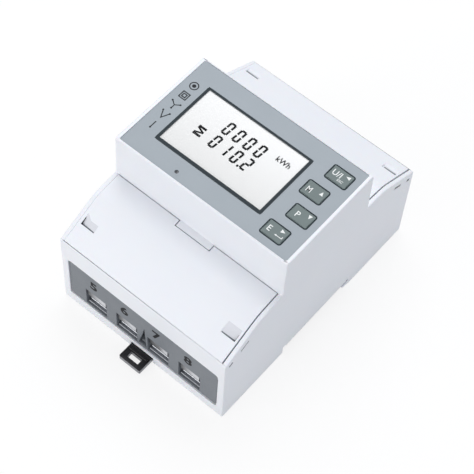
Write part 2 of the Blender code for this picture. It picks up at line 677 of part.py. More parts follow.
def make_cover(side):
    end = "lower" if side < 0 else "upper"
    half_width = WELL_HALF_WIDTH - CLEARANCE
    inner_y = SEAM_Y + CLEARANCE
    outer_y = HALF_LENGTH - COVER_LIP - CLEARANCE
    plate = cover_outline(inner_y, outer_y, 0.0, COVER_THICKNESS)
    cover = prism(f"terminal_cover_{end}", mirrored(plate, side), "X", -half_width, half_width)
    flange_low = LEDGE_HEIGHT + CLEARANCE
    flange_end = CAVITY_HALF_LENGTH - CLEARANCE
    flange = [
        (inner_y, flange_low),
        (flange_end, flange_low),
        (flange_end, slope_height(flange_end) - COVER_THICKNESS / 2),
        (KNEE_Y, KNEE_HEIGHT - COVER_THICKNESS),
        (inner_y, shoulder_height(inner_y) - COVER_THICKNESS / 2),
    ]
    for hand in (-1, 1):
        name = "left" if hand < 0 else "right"
        start = min(hand * half_width, hand * (half_width - FLANGE_THICKNESS))
        join(cover, prism(f"cover_flange_{end}_{name}", mirrored(flange, side), "X",
                          start, start + FLANGE_THICKNESS))
        near = HALF_WIDTH - POCKET_FROM_SIDE - POCKET_WIDTH
        near, far = sorted((hand * near, hand * (near + POCKET_WIDTH)))
        cut(cover, prism(f"cover_pocket_{end}_{name}", mirrored(pocket_outline(), side), "X", near, far))
    notch_half = TONGUE_WIDTH / 2 + CLEARANCE
    notch_end = SEAM_Y + TONGUE_REACH + CLEARANCE
    cut(cover, box(f"cover_notch_{end}", (-notch_half, side * BLOCK_HALF, LEDGE_HEIGHT),
                   (notch_half, side * notch_end, BODY_DEPTH)))
    return finish(cover, white_plastic)


def pocket_outline():
    # A shallow wedge that deepens towards the outer end
    outer = HALF_LENGTH - POCKET_FROM_END
    inner = outer - POCKET_LENGTH
    return [
        (inner, slope_height(inner)),
        (outer, slope_height(outer) - POCKET_DEPTH),
        (outer, slope_height(inner) + POCKET_DEPTH),
        (inner, slope_height(inner) + POCKET_DEPTH),
    ]


def span(side, near, far):
    # Lowest and highest y of a stretch given by its distances from the middle
    return tuple(sorted((side * near, side * far)))


def make_terminal_block(side):
    end = "lower" if side < 0 else "upper"
    half_width = CAVITY_HALF_WIDTH - CLEARANCE
    low, high = span(side, TERMINAL_BACK, TERMINAL_FRONT)
    outline = rounded_rectangle((-half_width, TERMINAL_BASE), (half_width, TERMINAL_TOP), WINDOW_RADIUS)
    block = prism(f"terminal_block_{end}", outline, "Y", low, high)
    cavity_half = CAGE_WIDTH / 2 + CLEARANCE
    for index in range(PORT_COUNT):
        x = port_x(index)
        tag = f"{end}_{index + 1}"
        low, high = span(side, CAGE_BACK - CLEARANCE, CAGE_FRONT + CLEARANCE)
        cut(block, box(f"cage_cavity_{tag}", (x - cavity_half, low, CAVITY_FLOOR),
                       (x + cavity_half, high, CEILING_HEIGHT)))
        low, high = span(side, CAGE_FRONT, TERMINAL_FRONT + END_WALL)
        cut(block, box(f"wire_port_{tag}", (x - PORT_WIDTH / 2, low, PORT_BASE),
                       (x + PORT_WIDTH / 2, high, PORT_TOP)))
        cut(block, port_flare(f"port_flare_{tag}", x, side))
        low, high = span(side, TERMINAL_BACK - END_WALL, CAGE_BACK)
        bar_half = BUSBAR_WIDTH / 2 + CLEARANCE
        cut(block, box(f"busbar_slot_{tag}", (x - bar_half, low, BUSBAR_HEIGHT - CLEARANCE),
                       (x + bar_half, high, BUSBAR_TOP + CLEARANCE)))
        centre = (x, side * screw_y())
        cut(block, cylinder(f"screw_well_{tag}", SCREW_HEAD_RADIUS + CLEARANCE, centre,
                            SCREW_SEAT, TERMINAL_TOP + END_WALL))
        cut(block, cylinder(f"screw_hole_{tag}", SCREW_THREAD_RADIUS + CLEARANCE, centre,
                            CEILING_HEIGHT - CLEARANCE, SCREW_SEAT + CLEARANCE))
    base = PORT_BASE - CLEARANCE
    groove = [
        (-GROOVE_WIDTH / 2, base),
        (GROOVE_WIDTH / 2, base),
        (GROOVE_LEAN, base + GROOVE_HEIGHT),
    ]
    low, high = span(side, TERMINAL_FRONT - GROOVE_DEPTH, TERMINAL_FRONT + END_WALL)
    groove = [(-side * x, z) for x, z in groove]
    cut(block, prism(f"driver_groove_{end}", groove, "Y", low, high))
    return finish(block, dark_plastic)


def port_flare(name, x, side):
    # Widens the mouth of a wire port over its first PORT_FLARE
    low, high = span(side, TERMINAL_FRONT - PORT_FLARE, TERMINAL_FRONT + PORT_FLARE)
    flare = box(name, (x - PORT_WIDTH / 2, low, PORT_BASE), (x + PORT_WIDTH / 2, high, PORT_TOP))
    middle = (PORT_BASE + PORT_TOP) / 2
    for vertex in flare.data.vertices:
        if side * vertex.co.y > TERMINAL_FRONT:
            vertex.co.x += math.copysign(2 * PORT_FLARE, vertex.co.x - x)
            if vertex.co.z > middle:
                vertex.co.z += 2 * PORT_FLARE
    return flare


def screw_y():
    return (CAGE_FRONT + CAGE_BACK) / 2


def make_cage(side, index):
    number = terminal_number(side, index)
    x = port_x(index)
    low, high = span(side, CAGE_BACK, CAGE_FRONT)
    half = CAGE_WIDTH / 2
    cage = box(f"terminal_cage_{number}", (x - half, low, CAGE_BASE), (x + half, high, CAGE_TOP))
    soften(cage, CAGE_SIDE / 2)
    inner = half - CAGE_SIDE
    cut(cage, box(f"cage_mouth_{number}", (x - inner, low - END_WALL, CAGE_BASE + CAGE_FLOOR),
                  (x + inner, high + END_WALL, CAGE_ROOF_HEIGHT)))
    cut(cage, cylinder(f"cage_thread_{number}", SCREW_THREAD_RADIUS + CLEARANCE, (x, side * screw_y()),
                       CAGE_ROOF_HEIGHT - CLEARANCE, CAGE_TOP + CLEARANCE))
    return finish(cage, plated_steel)


def terminal_number(side, index):
    return index + 1 + (0 if side > 0 else PORT_COUNT)


def make_terminal_screw(side, index):
    number = terminal_number(side, index)
    seat = SCREW_SEAT + CLEARANCE
    top = seat + SCREW_HEAD_HEIGHT
    rim = SCREW_HEAD_RADIUS
    chamfer = CLEARANCE
    profile = [
        (0.0, top),
        (rim - chamfer, top),
        (rim, top - chamfer),
        (rim, seat),
        (SCREW_THREAD_RADIUS, seat),
        (SCREW_THREAD_RADIUS, SCREW_TIP + SCREW_THREAD_RADIUS - SCREW_TIP_RADIUS),
        (SCREW_TIP_RADIUS, SCREW_TIP),
        (0.0, SCREW_TIP),
    ]
    x = port_x(index)
    y = side * screw_y()
    screw = turned(f"terminal_screw_{number}", profile, location=(x, y, 0))
    half = SCREW_SLOT_WIDTH / 2
    for hand, (dx, dy) in (("along", (SCREW_SLOT_REACH, half)), ("across", (half, SCREW_SLOT_REACH))):
        cut(screw, box(f"screw_{hand}_{number}", (x - dx, y - dy, top - SCREW_SLOT_DEPTH),
                       (x + dx, y + dy, top + CLEARANCE)))
    return finish(screw, plated_steel)


def make_busbar(index):
    x = port_x(index)
    narrow = BUSBAR_WIDTH / 2
    wide = PORT_WIDTH / 2 - CLEARANCE
    neck = CAGE_FRONT + CLEARANCE
    tip = TERMINAL_FRONT - TERMINAL_RECESS
    quarter = [(narrow, neck), (wide, neck), (wide, tip)]
    right = [(u, -v) for u, v in reversed(quarter)] + quarter
    left = [(-u, v) for u, v in reversed(right)]
    outline = [(x + u, v) for u, v in right + left]
    return finish(prism(f"busbar_{index + 1}", outline, "Z", BUSBAR_HEIGHT, BUSBAR_TOP), plated_steel)


def make_current_transformer(index):
    y = (index - 1) * TRANSFORMER_SPACING
    half = TRANSFORMER_LENGTH / 2
    bore = BUSBAR_WIDTH / 2 + TRANSFORMER_PLAY
    rim = bore + TRANSFORMER_WALL
    profile = [(bore, half), (rim, half), (rim, -half), (bore, -half)]
    height = (BUSBAR_HEIGHT + BUSBAR_TOP) / 2
    ring = turned(f"current_transformer_{index + 1}", profile, (port_x(index), y, height), axis="Y")
    return finish(ring, blue_coating)


def make_clip():
    half = CLIP_WIDTH / 2
    tip = -HALF_LENGTH - CLIP_TAB
    hook = -RECESS_LOWER_EDGE + CLIP_BITE
    corners = [(-half, tip), (half, tip), (half, hook), (-half, hook)]
    outline = round_corners(corners, [CLIP_CORNER_RADIUS] * 2 + [0, 0], step_angle=30.0)
    clip = prism("din_clip", outline, "Z", CLIP_HEIGHT, CLIP_TOP)
    cut(clip, box("clip_hook_relief", (-CLIP_WIDTH, -RECESS_LOWER_EDGE, CLIP_HEIGHT + CLIP_HOOK_THICKNESS),
                  (CLIP_WIDTH, 0.0, CLIP_TOP + CLIP_THICKNESS)))
    eye = tip + CLIP_EYE_FROM_TIP
    cut(clip, box("clip_eye", (-CLIP_EYE_WIDTH / 2, eye, 0.0),
                  (CLIP_EYE_WIDTH / 2, eye + CLIP_EYE_LENGTH, CLIP_TOP + CLIP_THICKNESS)))
    leg_gap = half - CLIP_LEG_WIDTH
    cut(clip, box("clip_leg_slot", (-leg_gap, -HALF_LENGTH + CLIP_WIDTH, 0.0),
                  (leg_gap, -RECESS_LOWER_EDGE - CLIP_WIDTH / 2, CLIP_TOP + CLIP_THICKNESS)))
    ridge = tip + CLIP_RIDGE_FROM_TIP
    join(clip, box("clip_ridge", (-half + CLIP_CORNER_RADIUS / 2, ridge, CLIP_TOP - CLIP_RIDGE_HEIGHT),
                   (half - CLIP_CORNER_RADIUS / 2, ridge + CLIP_RIDGE_LENGTH, CLIP_TOP + CLIP_RIDGE_HEIGHT)))
    return finish(clip, black_plastic)


def make_faceplate():
    outline = rounded_rectangle((-LABEL_HALF_WIDTH + CLEARANCE, -LABEL_HALF_LENGTH + CLEARANCE),
                                (LABEL_HALF_WIDTH - CLEARANCE, LABEL_HALF_LENGTH - CLEARANCE), EDGE_RADIUS)
    plate = prism("faceplate", outline, "Z", LABEL_BASE, LABEL_TOP)
    cut_front_openings(plate, LABEL_BASE - CLEARANCE, LABEL_TOP + CLEARANCE)
    return finish(plate, label_film)


def make_display():
    pane = prism("display_window", display_outline(CLEARANCE), "Z", WINDOW_PANE_BASE, LABEL_TOP)
    finish(pane, clear_plastic)
    lcd = prism("lcd_panel", display_outline(CLEARANCE), "Z", LCD_BASE, LCD_BASE + LCD_THICKNESS)
    finish(lcd, lcd_glass)
    top = LCD_BASE - CLEARANCE
    light = prism("lcd_backlight", display_outline(BACKLIGHT_MARGIN), "Z", top - BACKLIGHT_THICKNESS, top)
    finish(light, diffuser)


def make_key(index):
    x, y = key_centre(index)
    flange_top = FRONT_UNDERSIDE - CLEARANCE
    outline = [(u - x, v - y) for u, v in key_outline(index, 0.0)]
    brim = [(u - x, v - y) for u, v in key_outline(index, KEY_FLANGE)]
    key = prism(f"key_{index + 1}", outline, "Z", flange_top - KEY_FLANGE_THICKNESS / 2,
                LABEL_TOP + KEY_PROUD)
    soften(key, KEY_EDGE)
    key.location = (x, y, 0)
    flange = prism(f"key_flange_{index + 1}", brim, "Z", flange_top - KEY_FLANGE_THICKNESS, flange_top)
    flange.location = (x, y, 0)
    join(key, flange)
    return finish(key, key_plastic)


def make_switch(index):
    x, y = key_centre(index)
    half = SWITCH_SIZE / 2
    base = DISPLAY_BOARD_TOP + CLEARANCE
    key_underside = FRONT_UNDERSIDE - CLEARANCE - KEY_FLANGE_THICKNESS
    switch = box(f"tact_switch_{index + 1}", (x - half, y - half, base), (x + half, y + half, base + SWITCH_HEIGHT))
    join(switch, cylinder(f"switch_plunger_{index + 1}", SWITCH_PLUNGER_RADIUS, (x, y),
                          base + SWITCH_HEIGHT / 2, key_underside - KEY_FREE_PLAY, steps=12))
    return finish(switch, black_plastic)


def make_lamp():
    base = DISPLAY_BOARD_TOP + CLEARANCE
    wide = LAMP_RADIUS + LAMP_FLANGE
    profile = [
        (0.0, LABEL_TOP),
        (LAMP_RADIUS - LAMP_CROWN, LABEL_TOP - LAMP_CROWN / 2),
        (LAMP_RADIUS, LABEL_TOP - LAMP_CROWN),
        (LAMP_RADIUS, base + LAMP_FLANGE * 2),
        (wide, base + LAMP_FLANGE * 2),
        (wide, base),
        (0.0, base),
    ]
    return finish(turned("pulse_led", profile, (LAMP_X, LAMP_Y, 0)), lamp_lens)


def make_boards():
    half_width = CENTRE_HALF_WIDTH - CLEARANCE
    half_length = CENTRE_HALF_LENGTH - CLEARANCE
    for name, base in (("power_board", POWER_BOARD_HEIGHT), ("display_board", DISPLAY_BOARD_HEIGHT)):
        board = box(name, (-half_width, -half_length, base), (half_width, half_length, base + BOARD_THICKNESS))
        finish(board, circuit_board)
    base = POWER_BOARD_TOP + CLEARANCE
    x = HALF_WIDTH - HEADER_FROM_SIDE
    header = box("board_header", (x - HEADER_WIDTH / 2, -HEADER_LENGTH / 2, base),
                 (x + HEADER_WIDTH / 2, HEADER_LENGTH / 2, DISPLAY_BOARD_HEIGHT - CLEARANCE))
    finish(soften(header, CLEARANCE), black_plastic)
    can = cylinder("capacitor", CAPACITOR_RADIUS, (CAPACITOR_X, 0), base, base + CAPACITOR_HEIGHT)
    finish(soften(can, CLEARANCE * 2), blue_coating)


def make_supply_transformer():
    base = POWER_BOARD_TOP + CLEARANCE
    x = -HALF_WIDTH + SUPPLY_FROM_SIDE
    half_x = SUPPLY_CORE_WIDTH / 2
    half_y = SUPPLY_CORE_LENGTH / 2
    top = base + SUPPLY_CORE_HEIGHT
    core = box("supply_transformer", (x - half_x, -half_y, base), (x + half_x, half_y, top))
    coil_half = half_y - SUPPLY_COIL_MARGIN
    coil = box("supply_coil", (x - half_x - SUPPLY_COIL_MARGIN, -coil_half, base + SUPPLY_COIL_MARGIN),
               (x + half_x + SUPPLY_COIL_MARGIN, coil_half, top - SUPPLY_COIL_MARGIN))
    join(core, soften(coil, SUPPLY_COIL_MARGIN / 2, segments=2))
    return finish(core, transformer_steel)


def make_base_screw(index, centre):
    head_base = CLEARANCE
    head_top = BASE_WALL
    profile = [
        (0.0, BASE_SCREW_LENGTH),
        (BASE_SCREW_TIP_RADIUS, BASE_SCREW_LENGTH),
        (BASE_SCREW_RADIUS, BASE_SCREW_LENGTH - BASE_SCREW_RADIUS / 2),
        (BASE_SCREW_RADIUS, head_top),
        (BASE_SCREW_HEAD_RADIUS, head_top),
        (BASE_SCREW_HEAD_RADIUS, head_base),
        (0.0, head_base),
    ]
    screw = turned(f"base_screw_{index + 1}", profile, (*centre, 0))
    return finish(screw, plated_steel)


clear_scene()
parts = make_collection("reactive_energy_meter")
cutters = make_collection("cutters")
datum = bpy.data.objects.new("feet_datum", None)
datum.location = (0, 0, -RECESS_DEPTH)
parts.objects.link(datum)

white_plastic = make_material("white polycarbonate", (0.80, 0.81, 0.84), 0.38)
grey_plastic = make_material("light grey polycarbonate", (0.55, 0.56, 0.58), 0.45)
dark_plastic = make_material("dark grey glass-filled plastic", (0.19, 0.20, 0.22), 0.5)
black_plastic = make_material("black plastic", (0.012, 0.012, 0.016), 0.4)
plated_steel = make_material("plated steel", (0.65, 0.65, 0.67), 0.3, metallic=1.0)
label_film = make_material("printed label film", (0.39, 0.45, 0.49), 0.45)
clear_plastic = make_material("clear window plastic", (0.9, 0.92, 0.92), 0.1, alpha=0.3)
lcd_glass = make_material("display glass", (0.62, 0.66, 0.62), 0.25)
diffuser = make_material("white diffuser", (0.85, 0.86, 0.84), 0.5)
key_plastic = make_material("grey key plastic", (0.20, 0.25, 0.24), 0.5)
lamp_lens = make_material("lamp lens", (0.03, 0.03, 0.04), 0.2)
circuit_board = make_material("green circuit board", (0.02, 0.12, 0.05), 0.5)
blue_coating = make_material("blue epoxy coating", (0.03, 0.08, 0.25), 0.4)
transformer_steel = make_material("laminated core steel", (0.25, 0.25, 0.27), 0.5, metallic=0.8)

make_housing()
make_rear_base()
for end_side in (-1, 1):
    make_cover(end_side)
    make_terminal_block(end_side)
    for port in range(PORT_COUNT):
        make_cage(end_side, port)
        make_terminal_screw(end_side, port)
for port in range(PORT_COUNT):
    make_busbar(port)
for phase in range(3):
    make_current_transformer(phase)
make_clip()
make_faceplate()
make_display()
for key_number in range(KEY_COUNT):
    make_key(key_number)
    make_switch(key_number)
make_lamp()
make_boards()
make_supply_transformer()
for screw_number, screw_centre in enumerate(base_screw_centres()):
    make_base_screw(screw_number, screw_centre)
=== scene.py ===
import json
import math

import bmesh
import bpy
from mathutils import Matrix, Vector

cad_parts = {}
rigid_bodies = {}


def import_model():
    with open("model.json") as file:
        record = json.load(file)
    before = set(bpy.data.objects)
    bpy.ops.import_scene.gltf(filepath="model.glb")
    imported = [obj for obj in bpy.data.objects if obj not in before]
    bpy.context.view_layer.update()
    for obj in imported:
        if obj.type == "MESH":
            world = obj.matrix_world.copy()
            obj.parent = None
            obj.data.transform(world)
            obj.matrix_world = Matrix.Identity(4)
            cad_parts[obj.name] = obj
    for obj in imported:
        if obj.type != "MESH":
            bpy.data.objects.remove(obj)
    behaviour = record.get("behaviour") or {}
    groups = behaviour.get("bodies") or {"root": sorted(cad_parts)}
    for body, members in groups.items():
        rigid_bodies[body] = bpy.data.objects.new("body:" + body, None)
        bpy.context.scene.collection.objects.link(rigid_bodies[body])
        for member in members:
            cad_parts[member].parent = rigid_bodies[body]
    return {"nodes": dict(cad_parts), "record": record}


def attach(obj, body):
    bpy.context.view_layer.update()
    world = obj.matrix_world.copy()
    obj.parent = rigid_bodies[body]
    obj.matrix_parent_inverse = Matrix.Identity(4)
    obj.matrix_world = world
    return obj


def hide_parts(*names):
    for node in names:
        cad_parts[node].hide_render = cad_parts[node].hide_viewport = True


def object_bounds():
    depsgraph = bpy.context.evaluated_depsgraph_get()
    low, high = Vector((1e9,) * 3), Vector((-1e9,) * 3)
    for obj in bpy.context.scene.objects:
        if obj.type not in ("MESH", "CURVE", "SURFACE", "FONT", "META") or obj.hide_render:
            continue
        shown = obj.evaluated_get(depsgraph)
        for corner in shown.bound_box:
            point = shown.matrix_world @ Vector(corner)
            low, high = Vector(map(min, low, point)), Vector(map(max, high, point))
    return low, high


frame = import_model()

# Rail-mounted reactive energy meter. Settings are in millimetres, and heights
# are measured from the feet of the housing, which lie feetDrop below the rail seat.

cadLow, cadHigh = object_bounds()
nodes = frame["nodes"]
mm = 0.001
feetDrop = 3.5
bodyOf = {node: body for body, held in frame["record"]["behaviour"]["bodies"].items() for node in held}

for leftover in [o for o in bpy.data.objects if o.name in ("Cube", "Light", "Camera")]:
    bpy.data.objects.remove(leftover, do_unlink=True)


def place(x, y, height):
    return Vector((x, y, height - feetDrop)) * mm


def linear(hexColour):
    channels = [int(hexColour[i:i + 2], 16) / 255 for i in (1, 3, 5)]
    return (*[c / 12.92 if c <= 0.04045 else ((c + 0.055) / 1.055) ** 2.4 for c in channels], 1.0)


def addNode(tree, kind, links=None, values=None, **settings):
    node = tree.nodes.new(kind)
    for key, value in settings.items():
        setattr(node, key, value)
    for socket, value in (values or {}).items():
        node.inputs[socket].default_value = value
    for socket, source in (links or {}).items():
        tree.links.new(source, node.inputs[socket])
    return node


# Materials
def startMaterial(name, **values):
    material = bpy.data.materials.new(name)
    material.use_nodes = True
    tree = material.node_tree
    tree.nodes.clear()
    shader = addNode(tree, "ShaderNodeBsdfPrincipled", values=values)
    addNode(tree, "ShaderNodeOutputMaterial", links={"Surface": shader.outputs["BSDF"]})
    coords = addNode(tree, "ShaderNodeTexCoord").outputs["Object"]
    return material, tree, shader, coords


def finishSurface(tree, shader, tones, mottle, grain, roughness, contrast=(0.3, 0.7), relief=None):
    # the mottle mixes the two tones; the grain sets the gloss and, where relief
    # gives a strength and a depth in millimetres, the bump
    tone = addNode(tree, "ShaderNodeMix", {"Factor": mottle.outputs["Fac"]},
                   {"A": linear(tones[0]), "B": linear(tones[1])}, data_type="RGBA")
    tree.links.new(tone.outputs["Result"], shader.inputs["Base Color"])
    gloss = addNode(tree, "ShaderNodeMapRange", {"Value": grain.outputs["Fac"]},
                    {"From Min": contrast[0], "From Max": contrast[1],
                     "To Min": roughness[0], "To Max": roughness[1]})
    tree.links.new(gloss.outputs["Result"], shader.inputs["Roughness"])
    if relief:
        bump = addNode(tree, "ShaderNodeBump", {"Height": grain.outputs["Fac"]},
                       {"Strength": relief[0], "Distance": relief[1] * mm})
        tree.links.new(bump.outputs["Normal"], shader.inputs["Normal"])


def mouldedPlastic(name, colour, shade, roughness, grain, depth, drift, **values):
    # grain is the size of the spark-eroded texture and drift that of the slow
    # change in tone that the melt leaves, both in millimetres
    material, tree, shader, coords = startMaterial(name, **values)
    slow = addNode(tree, "ShaderNodeTexNoise", {"Vector": coords},
                   {"Scale": 1 / (drift * mm), "Detail": 3.0, "Roughness": 0.55})
    fine = addNode(tree, "ShaderNodeTexNoise", {"Vector": coords},
                   {"Scale": 1 / (grain * mm), "Detail": 4.0, "Roughness": 0.6})
    finishSurface(tree, shader, (colour, shade), slow, fine, roughness, relief=(0.6, depth))
    return material


def platedMetal(name, colour, shade, roughness, brush, depth):
    # brush is the width of the drawing marks, in millimetres, which run along Y
    material, tree, shader, coords = startMaterial(name, Metallic=1.0)
    stretched = addNode(tree, "ShaderNodeMapping", {"Vector": coords}, {"Scale": (1.0, 0.08, 1.0)})
    marks = addNode(tree, "ShaderNodeTexNoise", {"Vector": stretched.outputs["Vector"]},
                    {"Scale": 1 / (brush * mm), "Detail": 5.0, "Roughness": 0.65})
    bloom = addNode(tree, "ShaderNodeTexNoise", {"Vector": coords}, {"Scale": 1 / (2.5 * mm), "Detail": 2.0})
    finishSurface(tree, shader, (colour, shade), bloom, marks, roughness, relief=(0.5, depth))
    return material


def printedInk(name, colour, shade, roughness, sheen=0.15):
    # a screen-printed film: flat colour with the faint mottle of the mesh
    material, tree, shader, coords = startMaterial(name, **{"Specular IOR Level": sheen})
    mesh = addNode(tree, "ShaderNodeTexNoise", {"Vector": coords}, {"Scale": 1 / (0.25 * mm), "Detail": 2.0})
    finishSurface(tree, shader, (colour, shade), mesh, mesh, (roughness - 0.05, roughness + 0.05), (0.0, 1.0))
    return material


def reopen(material):
    # a finished material's tree, its coordinates by axis and its colour socket
    tree = material.node_tree
    shader = next(node for node in tree.nodes if node.type == "BSDF_PRINCIPLED")
    coords = next(node for node in tree.nodes if node.type == "TEX_COORD").outputs["Object"]
    return tree, addNode(tree, "ShaderNodeSeparateXYZ", {"Vector": coords}).outputs, shader.inputs["Base Color"]


def tint(tree, base, share, colour):
    # lays a second colour over the first, which comes back as share rises to one
    mixed = addNode(tree, "ShaderNodeMix", {"Factor": share, "B": base.links[0].from_socket},
                    {"A": linear(colour)}, data_type="RGBA")
    tree.links.new(mixed.outputs["Result"], base)


print("materials")
# White polycarbonate, injection moulded: satin, cool white, softly lit inside
whitePolycarbonate = mouldedPlastic(
    "white polycarbonate", "#ECEEF3", "#E7EAF0", (0.34, 0.44), 0.45, 0.010, 22,
    **{"Subsurface Weight": 0.06, "Subsurface Scale": 1.2 * mm, "Specular IOR Level": 0.45, "IOR": 1.58})
# The same with a coarser texture, a shade greyer and duller: the grey is painted shade on the pocket floors and
# along the seams at the cover ends
shadedWhitePolycarbonate = mouldedPlastic(
    "white polycarbonate with painted shade", "#D9DBE1", "#D3D5DC", (0.50, 0.60), 0.6, 0.02, 12, IOR=1.58)
# Light grey polycarbonate, moulded: the plainer, duller back shell
greyPolycarbonate = mouldedPlastic(
    "light grey polycarbonate", "#C9CBCF", "#C1C3C8", (0.42, 0.52), 0.5, 0.014, 25, IOR=1.58)
# Glass-filled polyamide, moulded: dark grey with a slightly cloudy, dry surface
glassFilledPolyamide = mouldedPlastic(
    "dark grey glass-filled polyamide", "#777C82", "#6C7178", (0.46, 0.60), 0.35, 0.018, 6, IOR=1.53)
# Liquid silicone and ABS key tops: matt grey-green
keyPlastic = mouldedPlastic("grey-green key plastic", "#657373", "#5C6A6A", (0.46, 0.56), 0.3, 0.008, 4, IOR=1.53)
# Polyester label film, screen printed: grey-blue, fine even grain
labelFilm = mouldedPlastic("printed polyester film", "#949DA5", "#8D979F", (0.40, 0.50), 0.3, 0.004, 9, IOR=1.6)
# Opal polycarbonate diffuser behind the display: milky and even
opalDiffuser = mouldedPlastic("opal diffuser", "#EDEEEC", "#E4E6E4", (0.45, 0.55), 0.4, 0.006, 10, IOR=1.58)
# Black polyester moulding of switches and header: matt, with a fine grain
blackPolyester = mouldedPlastic("black polyester", "#202124", "#2A2B2E", (0.38, 0.50), 0.35, 0.010, 6, IOR=1.55)
# Glass-epoxy board under solder mask: dark green and rather glossy
solderMask = mouldedPlastic("green solder mask", "#1F5A38", "#2A6B44", (0.28, 0.42), 0.7, 0.020, 5, IOR=1.55)
# Epoxy dip coat of transformers and capacitor: deep blue, wet-looking and uneven
blueEpoxy = mouldedPlastic("blue epoxy", "#2F4E8C", "#27427C", (0.22, 0.34), 1.2, 0.030, 6, IOR=1.55)
# Zinc-plated steel: pale, slightly blue metal with drawing marks
zincPlatedSteel = platedMetal("zinc plated steel", "#C9CCD1", "#B4B8C0", (0.22, 0.40), 0.25, 0.006)
# Zinc plate gone dull on the cages' front lips: grey, with hardly a highlight
dullZinc = platedMetal("dull zinc plate", "#8C8F95", "#7E8187", (0.46, 0.60), 0.25, 0.004)
# Varnished transformer iron: dark, oily grey
varnishedIron = platedMetal("varnished laminated iron", "#66676C", "#55565B", (0.40, 0.55), 0.5, 0.020)
# Screen inks: dense and flat, and the display's own segments reflect nothing
segmentInk = printedInk("black display segments", "#060608", "#0B0B0E", 0.45, sheen=0.0)
borderInk = printedInk("dark display border", "#232D33", "#29343A", 0.45)
darkInk = printedInk("dark label ink", "#191C20", "#202428", 0.50)
numeralInk = printedInk("black numeral ink", "#121216", "#18181D", 0.55)
whiteInk = printedInk("white legend ink", "#F4F6F5", "#E9ECEB", 0.50)

# Acetal, moulded: black and waxy, with soft highlights along the edges; the sides
# of the pull tab are painted a lighter grey than its top, as painted light on the lit sides
blackAcetal = mouldedPlastic("black acetal", "#111114", "#18181C", (0.30, 0.42), 0.4, 0.010, 8, IOR=1.48)
clipSidesPaintedLight = {"low": 2.72, "high": 2.84, "colour": "#7C7D83"}
tree, axes, base = reopen(blackAcetal)
upper = addNode(tree, "ShaderNodeMapRange", {"Value": axes["Z"]},
                {"From Min": (clipSidesPaintedLight["low"] - feetDrop) * mm, "From Max": (clipSidesPaintedLight["high"] - feetDrop) * mm})
tint(tree, base, upper.outputs["Result"], clipSidesPaintedLight["colour"])

# Smoky epoxy lens of the pulse lamp: glossy grey, with the dark die in its middle
lampLens = mouldedPlastic("smoky tinted lens", "#8A9198", "#838A91", (0.12, 0.20), 0.8, 0.002, 2, IOR=1.52)
pulseLamp = {"x": -12.5, "y": -18.7, "die": 0.46, "clear": 0.70, "colour": "#2A2D35",
             "filmInner": 0.74, "filmOuter": 1.45}
tree, axes, base = reopen(lampLens)
flat = addNode(tree, "ShaderNodeCombineXYZ", {"X": axes["X"], "Y": axes["Y"]})
reach = addNode(tree, "ShaderNodeVectorMath", {0: flat.outputs["Vector"]},
                {1: (pulseLamp["x"] * mm, pulseLamp["y"] * mm, 0)}, operation="DISTANCE")
ring = addNode(tree, "ShaderNodeMapRange", {"Value": reach.outputs["Value"]},
               {"From Min": pulseLamp["die"] * mm, "From Max": pulseLamp["clear"] * mm})
tint(tree, base, ring.outputs["Result"], pulseLamp["colour"])

# Tin-plated copper bars: pale and softly reflecting; each end is left clean along its
# top and right, and painted dark below and at the left as painted shade and reflection inside the port
tinPlatedCopper = platedMetal("tin plated copper", "#D6D7DB", "#C6C8CD", (0.30, 0.42), 0.3, 0.004)
barPaintedShade = {"low": 11.4, "high": 12.9, "pitch": 14.0, "across": (0.22, 0.62), "colour": "#3A3C40"}
tree, axes, base = reopen(tinPlatedCopper)
upper = addNode(tree, "ShaderNodeMapRange", {"Value": axes["Z"]},
                {"From Min": (barPaintedShade["low"] - feetDrop) * mm, "From Max": (barPaintedShade["high"] - feetDrop) * mm})
column = addNode(tree, "ShaderNodeMath", {0: axes["X"]}, {1: 1 / (barPaintedShade["pitch"] * mm)},
                 operation="MULTIPLY")
along = addNode(tree, "ShaderNodeMath", {0: column.outputs["Value"]}, operation="FRACT")
right = addNode(tree, "ShaderNodeMapRange", {"Value": along.outputs["Value"]},
                {"From Min": barPaintedShade["across"][0], "From Max": barPaintedShade["across"][1]})
# the share of painted shade: low on the bar and towards the left of each column
share = addNode(tree, "ShaderNodeMath", {0: upper.outputs["Result"], 1: right.outputs["Result"]},
                operation="MULTIPLY")
tint(tree, base, share.outputs["Value"], barPaintedShade["colour"])

# Display glass: paper-white, painted a little greyer towards its lower edge as painted shade
displayGlass, tree, shader, coords = startMaterial("paper-white display glass", Roughness=0.35)
axes = addNode(tree, "ShaderNodeSeparateXYZ", {"Vector": coords})
paintedShadeFall = addNode(tree, "ShaderNodeMapRange", {"Value": axes.outputs["Y"]},
               {"From Min": -12.0 * mm, "From Max": 13.0 * mm, "To Min": 1.0, "To Max": 0.0})
tone = addNode(tree, "ShaderNodeMix", {"Factor": paintedShadeFall.outputs["Result"]},
               {"A": linear("#FFFFFF"), "B": linear("#E8E8E7")}, data_type="RGBA")
tree.links.new(tone.outputs["Result"], shader.inputs["Base Color"])

# Clear acrylic pane over the display: nearly invisible, with a faint gloss
clearAcrylic, tree, shader, coords = startMaterial("clear acrylic", Alpha=0.04, Roughness=0.05, IOR=1.49)
haze = addNode(tree, "ShaderNodeTexNoise", {"Vector": coords}, {"Scale": 1 / (6 * mm)})
tone = addNode(tree, "ShaderNodeMix", {"Factor": haze.outputs["Fac"]},
               {"A": linear("#7A8081"), "B": linear("#8A9091")}, data_type="RGBA")
tree.links.new(tone.outputs["Result"], shader.inputs["Base Color"])


# Tools
def addObject(name, data):
    made = bpy.data.objects.new(name, data)
    bpy.context.scene.collection.objects.link(made)
    return made


def takeMesh(holder):
    # the holder's finished shape as a plain mesh; the holder itself goes
    mesh = bpy.data.meshes.new_from_object(holder.evaluated_get(bpy.context.evaluated_depsgraph_get()))
    bpy.data.objects.remove(holder, do_unlink=True)
    return mesh


